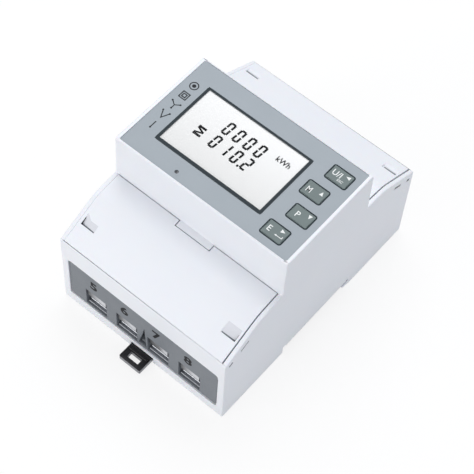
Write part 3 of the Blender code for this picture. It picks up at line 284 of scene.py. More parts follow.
def cleanMesh(name, mesh, merge, placed=Matrix.Identity(4)):
    # closes gaps of up to merge millimetres, points the faces outwards and puts
    # the mesh in its place
    bm = bmesh.new()
    bm.from_mesh(mesh)
    bmesh.ops.remove_doubles(bm, verts=bm.verts, dist=merge * mm)
    bmesh.ops.recalc_face_normals(bm, faces=bm.faces)
    bmesh.ops.transform(bm, matrix=placed, verts=bm.verts)
    bm.to_mesh(mesh)
    bm.free()
    mesh.name = name
    return mesh


def linkMesh(name, mesh, material, body):
    mesh.materials.clear()
    mesh.materials.append(material)
    piece = addObject(name, mesh)
    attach(piece, body)
    return piece


def smoothMesh(mesh, angle=33):
    # rounds the shading over the small bevels and keeps the flats flat
    mesh.shade_smooth()
    mesh.set_sharp_from_angle(angle=math.radians(angle))
    holder = addObject("smoothing", mesh)
    weighted = holder.modifiers.new("flats", "WEIGHTED_NORMAL")
    weighted.keep_sharp = True
    weighted.weight = 80
    return takeMesh(holder)


def roundEdges(bm, width, shortest, segments=3, turn=38):
    # shortest is the shortest edge that is rounded, in widths
    picked = [edge for edge in bm.edges
              if len(edge.link_faces) == 2 and edge.is_convex
              and edge.calc_face_angle() > math.radians(turn)
              and edge.calc_length() > shortest * width * mm]
    bmesh.ops.bevel(bm, geom=picked, offset=width * mm, offset_type="OFFSET", segments=segments,
                    profile=0.5, affect="EDGES", clamp_overlap=False, loop_slide=True)


def dress(node, material, width, shortest=3.0, reshape=None):
    # a CAD mesh is loose triangles, so its copy is merged; the triangles stay,
    # because long many-sided faces tear when their edges are rounded
    bm = bmesh.new()
    bm.from_mesh(nodes[node].data)
    bmesh.ops.remove_doubles(bm, verts=bm.verts, dist=0.002 * mm)
    if reshape:
        reshape(bm)
    if width:
        roundEdges(bm, width, shortest)
    for vertex in bm.verts:
        for axis in range(3):
            vertex.co[axis] = min(max(vertex.co[axis], cadLow[axis]), cadHigh[axis])
    mesh = bpy.data.meshes.new(f"{node}_finished")
    bm.to_mesh(mesh)
    bm.free()
    piece = linkMesh(f"{node}_finished", smoothMesh(mesh), material, bodyOf[node])
    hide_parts(node)


def repaint(node, material):
    nodes[node].data.materials.clear()
    nodes[node].data.materials.append(material)


print("moulded pieces")
covers = {
    "halfWidth": 34.1, "leftGap": 0.27, "rightGap": -0.12, "outer": 49.2, "endGap": 0.285,
    "pocketNear": 27.5, "pocketFar": 33.2, "pocketStart": 38.5, "pocketEnd": 42.6,
    "floor": 40.0, "floorSpan": 0.2, "lowest": 39.5, "shallow": 0.70, "deep": -0.30, "slope": 0.4985,
    "upperStart": 42.0, "upperEnd": 44.9, "upperFoot": 42.05, "upperDepth": 1.0, "surfaceAtEnd": 40.96,
    "slack": 0.05,
}


def fitCover(bm):
    # closes the cover up to the left cheek and the end bar, and tips the floors of
    # its two pockets: down towards the sides in the lower cover, and down towards
    # the front block in the upper one, where they also lie nearer to the end
    slack = covers["slack"]
    for vertex in bm.verts:
        x, y, height = vertex.co.x / mm, abs(vertex.co.y) / mm, vertex.co.z / mm + feetDrop
        atNear, atFar = (abs(abs(x) - covers[edge]) < slack for edge in ("pocketNear", "pocketFar"))
        atStart, atEnd = (abs(y - covers[edge]) < slack for edge in ("pocketStart", "pocketEnd"))
        onFloor = atEnd and abs(height - covers["floor"]) < covers["floorSpan"]
        inPocket = (atNear or atFar) and (atStart or atEnd) and height > covers["lowest"]
        if vertex.co.y > 0 and inPocket:
            if onFloor:
                surface = covers["surfaceAtEnd"] + (covers["pocketEnd"] - covers["upperFoot"]) * covers["slope"]
                vertex.co.y = covers["upperFoot"] * mm
                vertex.co.z = (surface - covers["upperDepth"] - feetDrop) * mm
                continue
            shift = covers["upperEnd" if atEnd else "upperStart"] - y
            vertex.co.y += shift * mm
            vertex.co.z -= shift * covers["slope"] * mm
        if x < -covers["halfWidth"] + slack:
            vertex.co.x -= covers["leftGap"] * mm
        if x > covers["halfWidth"] - slack:
            vertex.co.x += covers["rightGap"] * mm
        if y > covers["outer"] - slack:
            vertex.co.y += math.copysign(covers["endGap"] * mm, vertex.co.y)
        if onFloor:
            vertex.co.z += (covers["shallow"] if atNear else covers["deep"]) * mm


faceplate = {"beyond": (33.0, 20.0), "grow": 0.26}


def fitFaceplate(bm):
    # moves the plate's outer edges a little nearer to its rim
    for vertex in bm.verts:
        for axis in (0, 1):
            if abs(vertex.co[axis]) > faceplate["beyond"][axis] * mm:
                vertex.co[axis] += math.copysign(faceplate["grow"] * mm, vertex.co[axis])


pane = {"x": -4.45, "y": 0.2, "grow": 0.2, "underside": 65.0, "rise": 0.85}
glass = {"underside": 64.0, "rise": 1.06}


def fitWindow(bm):
    # the pane is a thin sheet that fills its opening
    for vertex in bm.verts:
        if vertex.co.z / mm + feetDrop < pane["underside"]:
            vertex.co.z += pane["rise"] * mm
        vertex.co.x += math.copysign(pane["grow"] * mm, vertex.co.x - pane["x"] * mm)
        vertex.co.y += math.copysign(pane["grow"] * mm, vertex.co.y - pane["y"] * mm)


def fitGlass(bm):
    # the display glass reaches up to the pane
    for vertex in bm.verts:
        if vertex.co.z / mm + feetDrop > glass["underside"]:
            vertex.co.z += glass["rise"] * mm


barEnds = {"columns": (-21.0, -7.0, 7.0, 21.0), "start": 48.0, "narrow": 0.88,
           "front": 49.0, "longer": 0.25, "middle": 13.0, "deeper": 0.3}


def fitBar(bm):
    # the bar's ends are narrower than the port
    for vertex in bm.verts:
        if abs(vertex.co.y) > barEnds["start"] * mm:
            centre = min(barEnds["columns"], key=lambda column: abs(column - vertex.co.x / mm)) * mm
            vertex.co.x = centre + (vertex.co.x - centre) * barEnds["narrow"]
        if abs(vertex.co.y) > barEnds["front"] * mm:
            vertex.co.y += math.copysign(barEnds["longer"] * mm, vertex.co.y)
            if vertex.co.z / mm + feetDrop < barEnds["middle"]:
                vertex.co.z -= barEnds["deeper"] * mm


# a corner of the CAD model counts as reached when it is this near, in millimetres
cornerSlack = 0.01
keys = {
    "centres": [(27.85, 14.5), (25.35, 4.62), (27.85, -5.26), (25.35, -15.14)],
    "halfWidth": 4.0, "halfLength": 2.9, "cadCorner": 1.0, "corner": 0.55,
}


def tightenKey(bm):
    # draws in the corners of the key top
    x, y = (sum(vertex.co[axis] for vertex in bm.verts) / len(bm.verts) / mm for axis in (0, 1))
    centre = min(keys["centres"], key=lambda spot: abs(spot[0] - x) + abs(spot[1] - y))
    halves = (keys["halfWidth"], keys["halfLength"])
    for vertex in bm.verts:
        off = [vertex.co[axis] / mm - centre[axis] for axis in (0, 1)]
        past = [abs(off[axis]) - halves[axis] + keys["cadCorner"] for axis in (0, 1)]
        if all(-cornerSlack < past[axis] < keys["cadCorner"] + cornerSlack for axis in (0, 1)):
            for axis in (0, 1):
                reach = halves[axis] - keys["corner"] + past[axis] * keys["corner"] / keys["cadCorner"]
                vertex.co[axis] = (centre[axis] + math.copysign(reach, off[axis])) * mm


pullTab = {"halfWidth": 4.7, "tip": -56.5, "cadCorner": 1.2, "corner": 0.45,
           "eyeHalf": 2.3, "eyeLow": -55.0, "eyeHigh": -52.5, "eyeWider": 0.28, "eyeLonger": 0.05}


def fitTab(bm):
    # the clip's pull tab: a wider eye and tighter corners
    share = pullTab["corner"] / pullTab["cadCorner"]
    for vertex in bm.verts:
        x, y = vertex.co.x / mm, vertex.co.y / mm
        inX = abs(x) - pullTab["halfWidth"] + pullTab["cadCorner"]
        inY = pullTab["tip"] + pullTab["cadCorner"] - y
        if inX > -cornerSlack and inY > -cornerSlack:
            vertex.co.x = math.copysign(pullTab["halfWidth"] - pullTab["corner"] + inX * share, x) * mm
            vertex.co.y = (pullTab["tip"] + pullTab["corner"] - inY * share) * mm
        if abs(x) < pullTab["eyeHalf"] and pullTab["eyeLow"] < y < pullTab["eyeHigh"]:
            middle = (pullTab["eyeLow"] + pullTab["eyeHigh"]) / 2
            vertex.co.x += math.copysign(pullTab["eyeWider"], x) * mm
            vertex.co.y += math.copysign(pullTab["eyeLonger"], y - middle) * mm


fronts = {
    "halfWidth": 32.9, "low": 5.3, "high": 26.7, "corner": 1.0, "edge": 0.13,
    "front": 49.6, "back": 48.25,
    "columns": [-21.2, -7.2, 6.9, 20.8], "mouthHalf": 4.72, "mouthLow": 5.85, "mouthHigh": 15.1,
    "groove": [(-1.9, 6.5), (1.7, 6.5), (0.8, 19.1)],
}


def trimBlock(bm):
    # the front wall is taken off, and terminalFront() makes it anew
    side = math.copysign(1, sum(vertex.co.y for vertex in bm.verts))
    cut = bmesh.ops.bisect_plane(bm, geom=bm.verts[:] + bm.edges[:] + bm.faces[:], dist=0.001 * mm,
                                 plane_co=(0, side * fronts["back"] * mm, 0), plane_no=(0, side, 0),
                                 clear_outer=True)
    rim = [edge for edge in cut["geom_cut"] if isinstance(edge, bmesh.types.BMEdge)]
    bmesh.ops.triangle_fill(bm, edges=rim, use_beauty=True, normal=(0, side, 0))


rounding = {"housing": 0.28, "rear_base": 0.22, "terminal_cover": 0.11, "din_clip": 0.15, "key": 0.10,
            "faceplate": 0.05, "cage": 0.12, "busbar": 0.28}
dress("housing", whitePolycarbonate, rounding["housing"])
dress("rear_base", greyPolycarbonate, rounding["rear_base"])
for end in ("lower", "upper"):
    dress(f"terminal_cover_{end}", whitePolycarbonate, rounding["terminal_cover"], reshape=fitCover)
    dress(f"terminal_block_{end}", glassFilledPolyamide, 0, reshape=trimBlock)
dress("din_clip", blackAcetal, rounding["din_clip"], reshape=fitTab)
dress("faceplate", labelFilm, rounding["faceplate"], reshape=fitFaceplate)
for number in range(1, 5):
    dress(f"key_{number}", keyPlastic, rounding["key"], reshape=tightenKey)
    dress(f"busbar_{number}", tinPlatedCopper, rounding["busbar"], shortest=1.0, reshape=fitBar)
    repaint(f"tact_switch_{number}", blackPolyester)
    repaint(f"base_screw_{number}", zincPlatedSteel)
for number in range(1, 9):
    dress(f"terminal_cage_{number}", zincPlatedSteel, rounding["cage"])
    repaint(f"terminal_screw_{number}", zincPlatedSteel)
for number in range(1, 4):
    repaint(f"current_transformer_{number}", blueEpoxy)
for node, material in {"power_board": solderMask, "display_board": solderMask, "board_header": blackPolyester,
                       "capacitor": blueEpoxy, "supply_transformer": varnishedIron,
                       "lcd_backlight": opalDiffuser, "pulse_led": lampLens}.items():
    repaint(node, material)
dress("lcd_panel", displayGlass, 0, reshape=fitGlass)
dress("display_window", clearAcrylic, 0, reshape=fitWindow)


# Inks and plates
def flatPiece(name, curve, origin, material, body, turned=None):
    placed = Matrix.Translation(origin) @ (turned or Matrix.Identity(4))
    mesh = takeMesh(addObject(name, curve))
    bpy.data.curves.remove(curve)
    linkMesh(name, cleanMesh(name, mesh, 0.001, placed), material, body)


def inkPlate(name, loops, height, thickness, material, body, turned=None, edge=0.0):
    # closed outlines in (x, y) millimetres; one inside another makes a hole, and
    # edge is the radius that its rims are rounded to
    curve = bpy.data.curves.new(name, "CURVE")
    curve.dimensions = "2D"
    curve.fill_mode = "BOTH"
    curve.extrude = (thickness / 2 - edge) * mm
    curve.bevel_depth = edge * mm
    curve.bevel_resolution = 2
    curve.offset = -edge * mm
    for loop in loops:
        spline = curve.splines.new("POLY")
        spline.points.add(len(loop) - 1)
        for point, (x, y) in zip(spline.points, loop):
            point.co = (x * mm, y * mm, 0, 1)
        spline.use_cyclic_u = True
    origin = Vector((0, 0, 0)) if turned else place(0, 0, height + thickness / 2)
    flatPiece(name, curve, origin, material, body, turned)


def lettering(name, words, size, origin, thickness, material, body, turned=None, squeeze=1.0, weight=0.0):
    text = bpy.data.curves.new(name, "FONT")
    text.body = words
    text.size = size * mm
    text.extrude = thickness / 2 * mm
    text.offset = weight * mm
    text.align_x = "CENTER"
    text.align_y = "CENTER"
    text.resolution_u = 4
    shape = (turned or Matrix.Identity(4)) @ Matrix.Diagonal((squeeze, 1, 1, 1))
    flatPiece(name, text, origin, material, body, shape)


def disc(x, y, radius, steps=28):
    return [(x + radius * math.cos(2 * math.pi * i / steps), y + radius * math.sin(2 * math.pi * i / steps))
            for i in range(steps)]


def rectangle(left, right, low, high):
    return [(left, low), (right, low), (right, high), (left, high)]


# Node trees
def startTree(name, numbers, finish):
    # a tree with a named input for each number and for the material
    tree = bpy.data.node_groups.new(name, "GeometryNodeTree")
    tree.interface.new_socket("Geometry", in_out="INPUT", socket_type="NodeSocketGeometry")
    for label in numbers:
        tree.interface.new_socket(label, in_out="INPUT", socket_type="NodeSocketFloat")
    tree.interface.new_socket(finish, in_out="INPUT", socket_type="NodeSocketMaterial")
    tree.interface.new_socket("Geometry", in_out="OUTPUT", socket_type="NodeSocketGeometry")
    return tree, addNode(tree, "NodeGroupInput").outputs


def endTree(tree, geometry, finish):
    real = addNode(tree, "GeometryNodeRealizeInstances", {"Geometry": geometry})
    done = addNode(tree, "GeometryNodeSetMaterial", {"Geometry": real.outputs["Geometry"], "Material": finish})
    addNode(tree, "NodeGroupOutput", {"Geometry": done.outputs["Geometry"]})
    return tree


def grow(name, mesh, tree, inputs):
    # runs a node tree on a mesh and returns the plain result
    holder = addObject(name, mesh)
    modifier = holder.modifiers.new(name, "NODES")
    modifier.node_group = tree
    for item in tree.interface.items_tree:
        if item.in_out == "INPUT" and item.name in inputs:
            modifier[item.identifier] = inputs[item.name]
    return cleanMesh(name, takeMesh(holder), 0.0005)


print("display")
display = {
    # the dark frame: left, right, low and high of its outer and its inner edge
    "outer": (-26.62, 17.72, -13.42, 13.82), "inner": (-25.62, 16.62, -12.12, 12.98), "frameInk": 0.02,
    "glassTop": 65.46,
    "paneTop": 65.7,
    "digitWidth": 2.58, "digitHeight": 5.64, "stroke": 0.77, "lean": 0.085, "ink": 0.03,
    # what each bar stops short of a corner, and an upright one of the middle
    "gap": 0.10, "middleGap": 0.24,
    "rows": [(5.30, "0000"), (-1.45, "010.2")],
    "firstDigit": -10.96, "pitch": 4.46,
    "point": {"right": 0.15, "up": 0.02, "radius": 0.44},
    "letter": {"left": -19.04, "low": -3.70, "width": 4.15, "height": 3.10, "bar": 0.90, "top": 1.25,
               "tip": 0.34, "fork": 0.30, "notch": 0.72},
    "unit": (10.73, 6.83, 3.0),
}
inkPlate("display_border", [rectangle(*display["outer"]), rectangle(*display["inner"])],
         display["paneTop"] + 0.005, display["frameInk"], borderInk, "root")

# the seven bars of a digit, each from end to end in half widths and half heights
# of the digit, and those that are dark in each figure
bars = {"a": (-1, 1, 1, 1), "b": (1, 0, 1, 1), "c": (1, -1, 1, 0), "d": (-1, -1, 1, -1),
        "e": (-1, -1, -1, 0), "f": (-1, 0, -1, 1), "g": (-1, 0, 1, 0)}
darkBars = {"0": "abcdef", "1": "bc", "2": "abged"}


def segmentTree():
    # one bar for each edge of the input, drawn as a flat bar with pointed ends
    tree, given = startTree("display segments", ("Bar width", "Ink thickness"), "Ink")
    lines = addNode(tree, "GeometryNodeMeshToCurve", {"Mesh": given["Geometry"]})
    along = addNode(tree, "GeometryNodeSplineParameter")
    ends = addNode(tree, "ShaderNodeMath", {0: along.outputs["Factor"]}, {1: 0.5}, operation="SUBTRACT")
    away = addNode(tree, "ShaderNodeMath", {0: ends.outputs["Value"]}, operation="ABSOLUTE")
    taper = addNode(tree, "ShaderNodeMapRange", {"Value": away.outputs["Value"]},
                    {"From Min": 0.36, "From Max": 0.5, "To Min": 1.0, "To Max": 0.35})
    points = addNode(tree, "GeometryNodeResampleCurve", {"Curve": lines.outputs["Curve"]}, {"Count": 8})
    shaped = addNode(tree, "GeometryNodeSetCurveRadius",
                     {"Curve": points.outputs["Curve"], "Radius": taper.outputs["Result"]})
    upright = addNode(tree, "GeometryNodeSetCurveNormal", {"Curve": shaped.outputs["Curve"]}, mode="Z_UP")
    section = addNode(tree, "GeometryNodeCurvePrimitiveQuadrilateral",
                      {"Width": given["Bar width"], "Height": given["Ink thickness"]})
    solid = addNode(tree, "GeometryNodeCurveToMesh",
                    {"Curve": upright.outputs["Curve"], "Profile Curve": section.outputs["Curve"]},
                    {"Fill Caps": True})
    return endTree(tree, solid.outputs["Mesh"], given["Ink"])


def displaySegments():
    mesh = bpy.data.meshes.new("segment_lines")
    bm = bmesh.new()
    height = display["glassTop"] + 0.02
    halfWide = (display["digitWidth"] - display["stroke"]) / 2
    halfHigh = (display["digitHeight"] - display["stroke"]) / 2
    gap, middleGap, spot = display["gap"], display["middleGap"], display["point"]
    points = []
    for rowY, figures in display["rows"]:
        column = 0
        for figure in figures:
            centre = display["firstDigit"] + column * display["pitch"]
            if figure == ".":
                points.append((centre - display["pitch"] / 2 + spot["right"], rowY - halfHigh + spot["up"]))
                continue
            for bar in darkBars[figure]:
                x0, y0, x1, y1 = (reach * half for reach, half in zip(bars[bar], (halfWide, halfHigh) * 2))
                if x0 == x1:
                    y0, y1 = y0 + middleGap * (y0 == 0), y1 - middleGap * (y1 == 0)
                else:
                    x0, x1 = x0 + gap, x1 - gap
                corners = [place(centre + x + display["lean"] * y, rowY + y, height)
                           for x, y in ((x0, y0), (x1, y1))]
                bm.edges.new([bm.verts.new(corner) for corner in corners])
            column += 1
    bm.to_mesh(mesh)
    bm.free()
    drawn = grow("display_digits", mesh, segmentTree(), {
        "Bar width": display["stroke"] * mm, "Ink thickness": display["ink"] * mm, "Ink": segmentInk})
    linkMesh("display_digits", drawn, segmentInk, "root")
    inkPlate("display_point", [disc(x, y, spot["radius"]) for x, y in points], height - display["ink"] / 2,
             display["ink"], segmentInk, "root")


def displayLetter():
    # a bold M lying on its side, with its top to the left
    letter = display["letter"]
    width, height, bar, top, tip = (letter[key] for key in ("width", "height", "bar", "top", "tip"))
    fork, notch = height * letter["fork"], height * letter["notch"]
    shape = [(0, 0), (0, height), (top, height), (width / 2, fork), (width - top, height), (width, height),
             (width, 0), (width - bar, 0), (width - bar, notch), (width / 2 + tip, 0), (width / 2 - tip, 0),
             (bar, notch), (bar, 0)]
    loop = [(letter["left"] + height - up, letter["low"] + across) for across, up in shape]
    inkPlate("display_letter", [loop], display["glassTop"] + 0.005, display["ink"], segmentInk, "root")


displaySegments()
displayLetter()
x, y, size = display["unit"]
lettering("display_unit", "kWh", size, place(x, y, display["glassTop"] + 0.02), display["ink"], segmentInk,
          "root", squeeze=0.94, weight=0.045)

print("label print")
symbols = {
    "height": 65.7, "ink": 0.02, "line": 0.38, "end": 0.34,
    "ring": (-30.58, 10.75, 1.70), "dot": 0.72,
    "square": (-30.46, 5.68), "halves": (1.55, 0.85),
    "star": ((-30.45, 0.62), [(-32.2, 1.85), (-28.8, 1.85), (-30.43, -0.95)]), "core": 0.182,
    "vee": ((-30.46, -6.10), [(-31.90, -3.15), (-29.05, -3.15)]), "slant": 0.1,
    "single": {"x": -30.51, "low": -11.25, "high": -8.25},
}


def labelSymbols():
    line = symbols["line"]
    x, y, radius = symbols["ring"]
    loops = [disc(x, y, radius), disc(x, y, radius - line), disc(x, y, symbols["dot"], 20)]
    x, y = symbols["square"]
    for half in symbols["halves"]:
        loops += [rectangle(x - edge, x + edge, y - edge, y + edge) for edge in (half, half - line)]
    centre, arms = Vector(symbols["star"][0]), [Vector(arm) for arm in symbols["star"][1]]
    outline = []
    for tip, follow in ((arms[0], arms[2]), (arms[2], arms[1]), (arms[1], arms[0])):
        arm = tip - centre
        side = Vector((-arm.y, arm.x)).normalized() * line / 2
        between = (arm.normalized() + (follow - centre).normalized()).normalized()
        outline += [tuple(tip - side), tuple(tip + side), tuple(centre + between * symbols["core"])]
    loops.append(outline)
    (x, y), ((leftX, leftY), (rightX, rightY)) = symbols["vee"]
    slant = symbols["slant"]
    loops.append([(x, y - line), (rightX + line / 2, rightY), (rightX - line / 2, rightY + slant),
                  (x, y + line), (leftX + line / 2, leftY + slant), (leftX - line / 2, leftY)])
    x, low, high = symbols["single"].values()
    loops.append(rectangle(x - line / 2, x + line / 2, low, high))
    inkPlate("label_symbols", loops, symbols["height"] + 0.005, symbols["ink"], darkInk, "root")
    ends = [(x, low)] + symbols["star"][1] + symbols["vee"][1]
    inkPlate("label_symbol_ends", [disc(x, y, symbols["end"], 16) for x, y in ends],
             symbols["height"] + 0.008, symbols["ink"], darkInk, "root")


labelSymbols()
film = [disc(pulseLamp["x"], pulseLamp["y"], pulseLamp[key]) for key in ("filmOuter", "filmInner")]
inkPlate("lamp_film_ring", film, symbols["height"] + 0.004, symbols["ink"], labelFilm, "root")

legends = {
    "top": 65.9, "ink": 0.02, "size": 3.15, "small": ("ESC", 1.05, -1.45, 1.35),
    # each key's letters, their place from its centre and how far they are squeezed
    "letters": [("U/I", -1.35, 0.35, 0.95), ("M", -1.95, -0.45, 0.82), ("P", -1.35, -0.30, 0.95),
                ("E", -2.3, -0.15, 0.95)],
    "outlineGap": 0.06, "outline": 0.34,
    # each key's arrow: its turn in degrees and its place from the key's centre
    "arrows": [(180, 2.45, 1.45), (90, 2.25, 0.80), (270, 2.35, 1.45), (0, 1.90, 1.50)],
    "arrowSize": 0.92, "arrowBack": 132,
    # the bent arrow under the last key's own
    "returnArrow": [(0.30, -0.85), (1.0, -1.22), (1.0, -0.98), (3.25, -0.98), (3.25, -0.1), (3.0, -0.1),
                    (3.0, -0.74), (1.0, -0.74), (1.0, -0.48)],
}


def keyLegends():
    size, back = legends["arrowSize"], legends["arrowBack"]
    for index, (cx, cy) in enumerate(keys["centres"]):
        body = f"key_{index + 1}"
        words, dx, dy, squeeze = legends["letters"][index]
        lettering(f"key_letter_{index + 1}", words, legends["size"],
                  place(cx + dx, cy + dy, legends["top"] + 0.012), legends["ink"], whiteInk, body,
                  squeeze=squeeze, weight=0.03)
        degrees, dx, dy = legends["arrows"][index]
        turns = [math.radians(degrees) + math.radians(corner) for corner in (0, back, 360 - back)]
        loops = [[(cx + dx + size * math.cos(turn), cy + dy + size * math.sin(turn)) for turn in turns]]
        if index == 3:
            loops.append([(cx + x, cy + y) for x, y in legends["returnArrow"]])
        inkPlate(f"key_arrow_{index + 1}", loops, legends["top"] + 0.002, legends["ink"], whiteInk, body)
    words, dx, dy, size = legends["small"]
    x, y = keys["centres"][0]
    lettering("key_small_letter", words, size, place(x + dx, y + dy, legends["top"] + 0.012), legends["ink"],
              whiteInk, "key_1", weight=0.01)


keyLegends()


def frameTree():
    # one rounded frame laid flat at each point
    numbers = ("Outline width", "Outline length", "Corner radius", "Line width", "Ink thickness")
    tree, given = startTree("key outlines", numbers, "Ink")
    outline = addNode(tree, "GeometryNodeCurvePrimitiveQuadrilateral",
                      {"Width": given["Outline width"], "Height": given["Outline length"]})
    rounded = addNode(tree, "GeometryNodeFilletCurve",
                      {"Curve": outline.outputs["Curve"], "Radius": given["Corner radius"]},
                      {"Count": 6}, mode="POLY")
    upright = addNode(tree, "GeometryNodeSetCurveNormal", {"Curve": rounded.outputs["Curve"]}, mode="Z_UP")
    section = addNode(tree, "GeometryNodeCurvePrimitiveQuadrilateral",
                      {"Width": given["Line width"], "Height": given["Ink thickness"]})
    ring = addNode(tree, "GeometryNodeCurveToMesh",
                   {"Curve": upright.outputs["Curve"], "Profile Curve": section.outputs["Curve"]})
    placed = addNode(tree, "GeometryNodeInstanceOnPoints",
                     {"Points": given["Geometry"], "Instance": ring.outputs["Mesh"]})
    return endTree(tree, placed.outputs["Instances"], given["Ink"])


def keyOutlines():
    spread = 2 * legends["outlineGap"] + legends["outline"]
    mesh = bpy.data.meshes.new("key_points")
    mesh.from_pydata([place(x, y, symbols["height"] + 0.012) for x, y in keys["centres"]], [], [])
    drawn = grow("key_outlines", mesh, frameTree(), {
        "Outline width": (2 * keys["halfWidth"] + spread) * mm,
        "Outline length": (2 * keys["halfLength"] + spread) * mm,
        "Corner radius": (keys["corner"] + spread / 2) * mm, "Line width": legends["outline"] * mm,
        "Ink thickness": legends["ink"] * mm, "Ink": borderInk})
    linkMesh("key_outlines", drawn, borderInk, "root")


keyOutlines()

print("terminal fronts")


def facing(side):
    # stands a flat outline up, so that it is read from the lower or the upper end
    upright = Matrix.Rotation(math.radians(90), 4, "X")
    return Matrix.Rotation(math.pi, 4, "Z") @ upright if side > 0 else upright


def roundedBox(left, right, low, high, radius, steps=5):
    corners = [(right - radius, high - radius, 0), (left + radius, high - radius, 90),
               (left + radius, low + radius, 180), (right - radius, low + radius, 270)]
    return [(x + radius * math.cos(math.radians(start + 90 * i / steps)),
             y + radius * math.sin(math.radians(start + 90 * i / steps)))
            for x, y, start in corners for i in range(steps + 1)]


def terminalFront(end, side):
    # the front wall with its four mouths and the slanting groove
    wide, half = fronts["halfWidth"], fronts["mouthHalf"]
    loops = [roundedBox(-wide, wide, fronts["low"], fronts["high"], fronts["corner"])]
    loops += [rectangle(x - half, x + half, fronts["mouthLow"], fronts["mouthHigh"]) for x in fronts["columns"]]
    loops.append(fronts["groove"])
    middle = (fronts["front"] + fronts["back"]) / 2
    turned = Matrix.Translation(place(0, side * middle, 0)) @ facing(side)
    inkPlate(f"terminal_front_{end}", loops, 0, fronts["front"] - fronts["back"], glassFilledPolyamide, "root",
             turned=turned, edge=fronts["edge"])


for end, side in (("lower", -1), ("upper", 1)):
    terminalFront(end, side)


def barTree():
    # one plain bar at each point, tilted about its long axis
    tree, given = startTree("bars in rows", ("Bar length", "Bar depth", "Bar thickness", "Tilt"), "Finish")
    size = addNode(tree, "ShaderNodeCombineXYZ",
                   {"X": given["Bar length"], "Y": given["Bar depth"], "Z": given["Bar thickness"]})
    bar = addNode(tree, "GeometryNodeMeshCube", {"Size": size.outputs["Vector"]})
    turn = addNode(tree, "ShaderNodeCombineXYZ", {"X": given["Tilt"]})
    placed = addNode(tree, "GeometryNodeInstanceOnPoints",
                     {"Points": given["Geometry"], "Instance": bar.outputs["Mesh"],
                      "Rotation": turn.outputs["Vector"]})
    return endTree(tree, placed.outputs["Instances"], given["Finish"])


barRows = barTree()


def barRow(name, spots, size, tilt, material, body):
    mesh = bpy.data.meshes.new(f"{name}_points")
    mesh.from_pydata([place(*spot) for spot in spots], [], [])
    length, depth, thickness = (side * mm for side in size)
    drawn = grow(name, mesh, barRows, {
        "Bar length": length, "Bar depth": depth, "Bar thickness": thickness, "Tilt": math.radians(tilt),
        "Finish": material})
    linkMesh(name, drawn, material, body)


def slab(name, outlines, thickness, material, body):
    # thin plates from the corners of their upper faces
    mesh = bpy.data.meshes.new(name)
    bm = bmesh.new()
    for corners in outlines:
        top = [bm.verts.new(place(*corner)) for corner in corners]
        low = [bm.verts.new(place(x, y, height - thickness)) for x, y, height in corners]
        for last in range(2, len(corners)):
            bm.faces.new((top[0], top[last - 1], top[last]))
            bm.faces.new((low[last], low[last - 1], low[0]))
        for index in range(len(corners)):
            follow = (index + 1) % len(corners)
            bm.faces.new((top[follow], top[index], low[index], low[follow]))
    bmesh.ops.recalc_face_normals(bm, faces=bm.faces)
    bm.to_mesh(mesh)
    bm.free()
    linkMesh(name, mesh, material, body)


pockets = {
    # corners of the floor and of the dark strip of painted shade at its deep end, as (|x|, |y|, height)
    "floor": [(33.1, 38.75, 42.86), (27.6, 42.5, 40.80), (33.1, 42.5, 39.84), (27.6, 38.75, 42.86)],
    "shadeStrip": [(27.7, 42.54, 40.82), (33.1, 42.54, 39.88), (33.1, 41.85, 40.42), (27.7, 42.20, 41.02)],
    "upperFloor": [(33.1, 42.12, 40.24), (27.6, 44.80, 39.845), (33.1, 44.80, 39.845), (27.6, 42.12, 40.24)],
    "upperShadeStrip": [(27.9, 42.12, 40.27), (33.1, 42.12, 40.27), (33.1, 43.25, 40.105), (28.2, 43.15, 40.12)],
    "floorThickness": 0.02, "shadeStripThickness": 0.03,
    "slotShade": (33.13, 41.2, 40.95), "slotShadeSize": (0.10, 2.7, 1.2), "slope": 26.5,
}
# plates that close the seams at the cover ends; their greyer tone is painted seam shade
endSeams = {
    "seal": [(-34.3, 49.36, 37.61), (33.9, 49.36, 37.61), (33.9, 49.488, 37.545), (-34.3, 49.488, 37.545)],
    "edge": [(-34.3, 49.497, 37.541), (34.3, 49.497, 37.541), (34.3, 49.76, 37.41), (-34.3, 49.76, 37.41)],
    "thickness": 0.05,
}


def mirrored(corners, side, hand=1):
    return [(hand * x, side * y, height) for x, y, height in corners]


def coverPockets(end, side):
    floor, shadeStrip = ("upperFloor", "upperShadeStrip") if side > 0 else ("floor", "shadeStrip")
    floors = []
    for hand in (-1, 1):
        farTop, nearEnd, farEnd, nearTop = mirrored(pockets[floor], side, hand)
        floors += [[farTop, nearTop, nearEnd], [farTop, nearEnd, farEnd]]
    # the greyer floors of the pockets are painted shade
    slab(f"cover_pocket_floors_{end}", floors, pockets["floorThickness"], shadedWhitePolycarbonate, f"cover_{end}")
    for name, key, body in (("cover_seals", "seal", f"cover_{end}"), ("end_bar_edge", "edge", "root")):
        slab(f"{name}_{end}", [mirrored(endSeams[key], side)], endSeams["thickness"], shadedWhitePolycarbonate, body)
    # dark strips of painted shade at the deep end of each pocket
    slab(f"cover_slits_{end}", [mirrored(pockets[shadeStrip], side, hand) for hand in (-1, 1)],
         pockets["shadeStripThickness"], glassFilledPolyamide, f"cover_{end}")
    # black bars in the lower pockets stand for the dark of an open slot: painted shade
    if side < 0:
        slotShadeBars = [mirrored([pockets["slotShade"]], side, hand)[0] for hand in (-1, 1)]
        barRow(f"cover_latches_{end}", slotShadeBars, pockets["slotShadeSize"], -side * pockets["slope"], blackAcetal,
               f"cover_{end}")


for end, side in (("lower", -1), ("upper", 1)):
    coverPockets(end, side)

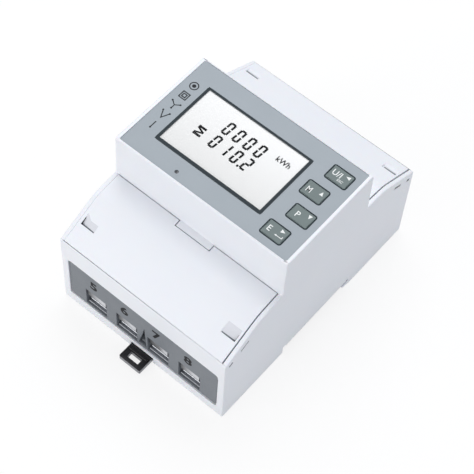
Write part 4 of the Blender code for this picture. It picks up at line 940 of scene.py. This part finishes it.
# the sloping front lip of each cage, which rises with it: its profile as (|y|, height)
cageLip = {"profile": [(48.80, 6.26), (48.62, 6.48), (47.95, 6.48)], "left": -4.3, "right": 4.4,
           "thickness": 0.22}
for number in range(1, 9):
    # the upper front wall is the lower one turned round, so its columns are mirrored
    side = 1 if number < 5 else -1
    x = fronts["columns"][number - 5] if side < 0 else -fronts["columns"][4 - number]
    left, right = x + cageLip["left"], x + cageLip["right"]
    strips = [mirrored([(left, *outer), (right, *outer), (right, *inner), (left, *inner)], side)
              for outer, inner in zip(cageLip["profile"], cageLip["profile"][1:])]
    slab(f"cage_lip_{number}", strips, cageLip["thickness"], dullZinc, f"cage_{number}")

# dark bars inside the vents of the side walls, painted shade where the vents look dark: |y|, height and length of
# each kind
vents = {"x": 35.75, "long": (40.5, 38.44, 4.1), "short": (47.15, 35.12, 1.8),
         "width": 0.82, "depth": 0.3, "slope": 26.5}
for end, side in (("lower", -1), ("upper", 1)):
    for kind in ("long", "short"):
        y, height, length = vents[kind]
        barRow(f"vent_screens_{kind}_{end}", [(x, side * y, height) for x in (-vents["x"], vents["x"])],
               (vents["depth"], length, vents["width"]), -side * vents["slope"], blackPolyester, "root")

print("terminal numerals")
numerals = {
    "columns": [-22.0, -8.1, 6.0, 20.1], "height": 20.6, "size": 6.2, "face": 49.618, "ink": 0.03,
    "squeeze": 1.12, "weight": 0.20,
}
for side, words in ((-1, "5678"), (1, "1234")):
    for column, figure in zip(numerals["columns"], words):
        lettering(f"terminal_numeral_{figure}", figure, numerals["size"],
                  place(column, side * numerals["face"], numerals["height"]), numerals["ink"], numeralInk, "root",
                  turned=facing(side), squeeze=numerals["squeeze"], weight=numerals["weight"])

print("camera and light")
view = {
    "azimuth": 36.042, "elevation": 58.618, "roll": 4.748, "distance": 554.995,
    "shiftX": -0.519, "shiftY": -8.448, "focal": 1551.571, "frame": 474, "sensor": 36,
}


def makeCamera():
    azimuth, elevation, roll = (math.radians(view[key]) for key in ("azimuth", "elevation", "roll"))
    back = Vector((math.sin(azimuth) * math.cos(elevation), -math.cos(azimuth) * math.cos(elevation),
                   math.sin(elevation)))
    across = Vector((math.cos(azimuth), math.sin(azimuth), 0))
    above = back.cross(across)
    right = across * math.cos(roll) + above * math.sin(roll)
    up = -across * math.sin(roll) + above * math.cos(roll)
    spot = back * view["distance"] - right * view["shiftX"] - up * view["shiftY"]
    data = bpy.data.cameras.new("camera")
    data.sensor_width = view["sensor"]
    data.lens = view["focal"] / view["frame"] * view["sensor"]
    data.clip_start = 0.01
    data.clip_end = 20
    camera = addObject("camera", data)
    camera.matrix_world = Matrix.Translation(place(*spot)) @ Matrix((right, up, back)).transposed().to_4x4()
    bpy.context.scene.camera = camera


makeCamera()

lights = {
    # name: place and size in millimetres, watts, colour
    "overhead": ((-150, 250, 600), 500, 2.05, "#FFFFFF"),
    "front": ((-160, -600, 150), 420, 1.68, "#FFFCF8"),
    "side": ((520, -160, 300), 420, 0.41, "#F6F8FF"),
}
for name, (spot, size, watts, colour) in lights.items():
    lamp = bpy.data.lights.new(name, "AREA")
    lamp.shape = "SQUARE"
    lamp.size = size * mm
    lamp.energy = watts
    lamp.color = linear(colour)[:3]
    holder = addObject(name, lamp)
    holder.location = place(*spot)
    holder.rotation_euler = (place(0, 0, 20) - holder.location).to_track_quat("-Z", "Y").to_euler()


def seenDirectly(tree):
    # one for what the camera sees, also in gloss and through clear pieces, and
    # nothing for the light that falls on the object
    path = addNode(tree, "ShaderNodeLightPath").outputs
    direct = addNode(tree, "ShaderNodeMath", {0: path["Is Camera Ray"], 1: path["Is Glossy Ray"]},
                     operation="MAXIMUM")
    seen = addNode(tree, "ShaderNodeMath", {0: direct.outputs["Value"], 1: path["Is Transmission Ray"]},
                   operation="MAXIMUM")
    return seen.outputs["Value"]


backdrop = {"ambient": "#F2F4F8", "strength": 0.60, "paper": "#CED0D2", "lift": 0.80, "half": 3.0,
            "below": 0.02}
world = bpy.data.worlds.new("studio")
bpy.context.scene.world = world
world.use_nodes = True
tree = world.node_tree
tree.nodes.clear()
ambient = addNode(tree, "ShaderNodeBackground",
                  values={"Color": linear(backdrop["ambient"]), "Strength": backdrop["strength"]})
white = addNode(tree, "ShaderNodeBackground", values={"Color": (1, 1, 1, 1), "Strength": 1.0})
mixed = addNode(tree, "ShaderNodeMixShader", {0: seenDirectly(tree), 1: ambient.outputs[0], 2: white.outputs[0]})
addNode(tree, "ShaderNodeOutputWorld", {"Surface": mixed.outputs[0]})


def makeFloor():
    mesh = bpy.data.meshes.new("floor")
    bm = bmesh.new()
    bmesh.ops.create_grid(bm, x_segments=2, y_segments=2, size=backdrop["half"],
                          matrix=Matrix.Translation(place(0, 0, -backdrop["below"])))
    bm.to_mesh(mesh)
    bm.free()
    floor = addObject("floor", mesh)
    # Matt studio paper: lifted to white for the camera, and still holding the shadow
    material, tree, shader, coords = startMaterial("pale studio floor", Roughness=0.9)
    seen = seenDirectly(tree)
    paper = addNode(tree, "ShaderNodeMix", {"Factor": seen},
                    {"A": linear(backdrop["paper"]), "B": linear("#FFFFFF")}, data_type="RGBA")
    tree.links.new(paper.outputs["Result"], shader.inputs["Base Color"])
    lifted = addNode(tree, "ShaderNodeEmission", values={"Color": (1, 1, 1, 1), "Strength": 1.0})
    share = addNode(tree, "ShaderNodeMath", {0: seen}, {1: backdrop["lift"]}, operation="MULTIPLY")
    blended = addNode(tree, "ShaderNodeMixShader",
                      {0: share.outputs["Value"], 1: shader.outputs["BSDF"], 2: lifted.outputs["Emission"]})
    output = next(node for node in tree.nodes if node.type == "OUTPUT_MATERIAL")
    tree.links.new(blended.outputs["Shader"], output.inputs["Surface"])
    mesh.materials.append(material)


makeFloor()
bpy.context.scene.view_settings.view_transform = "Standard"
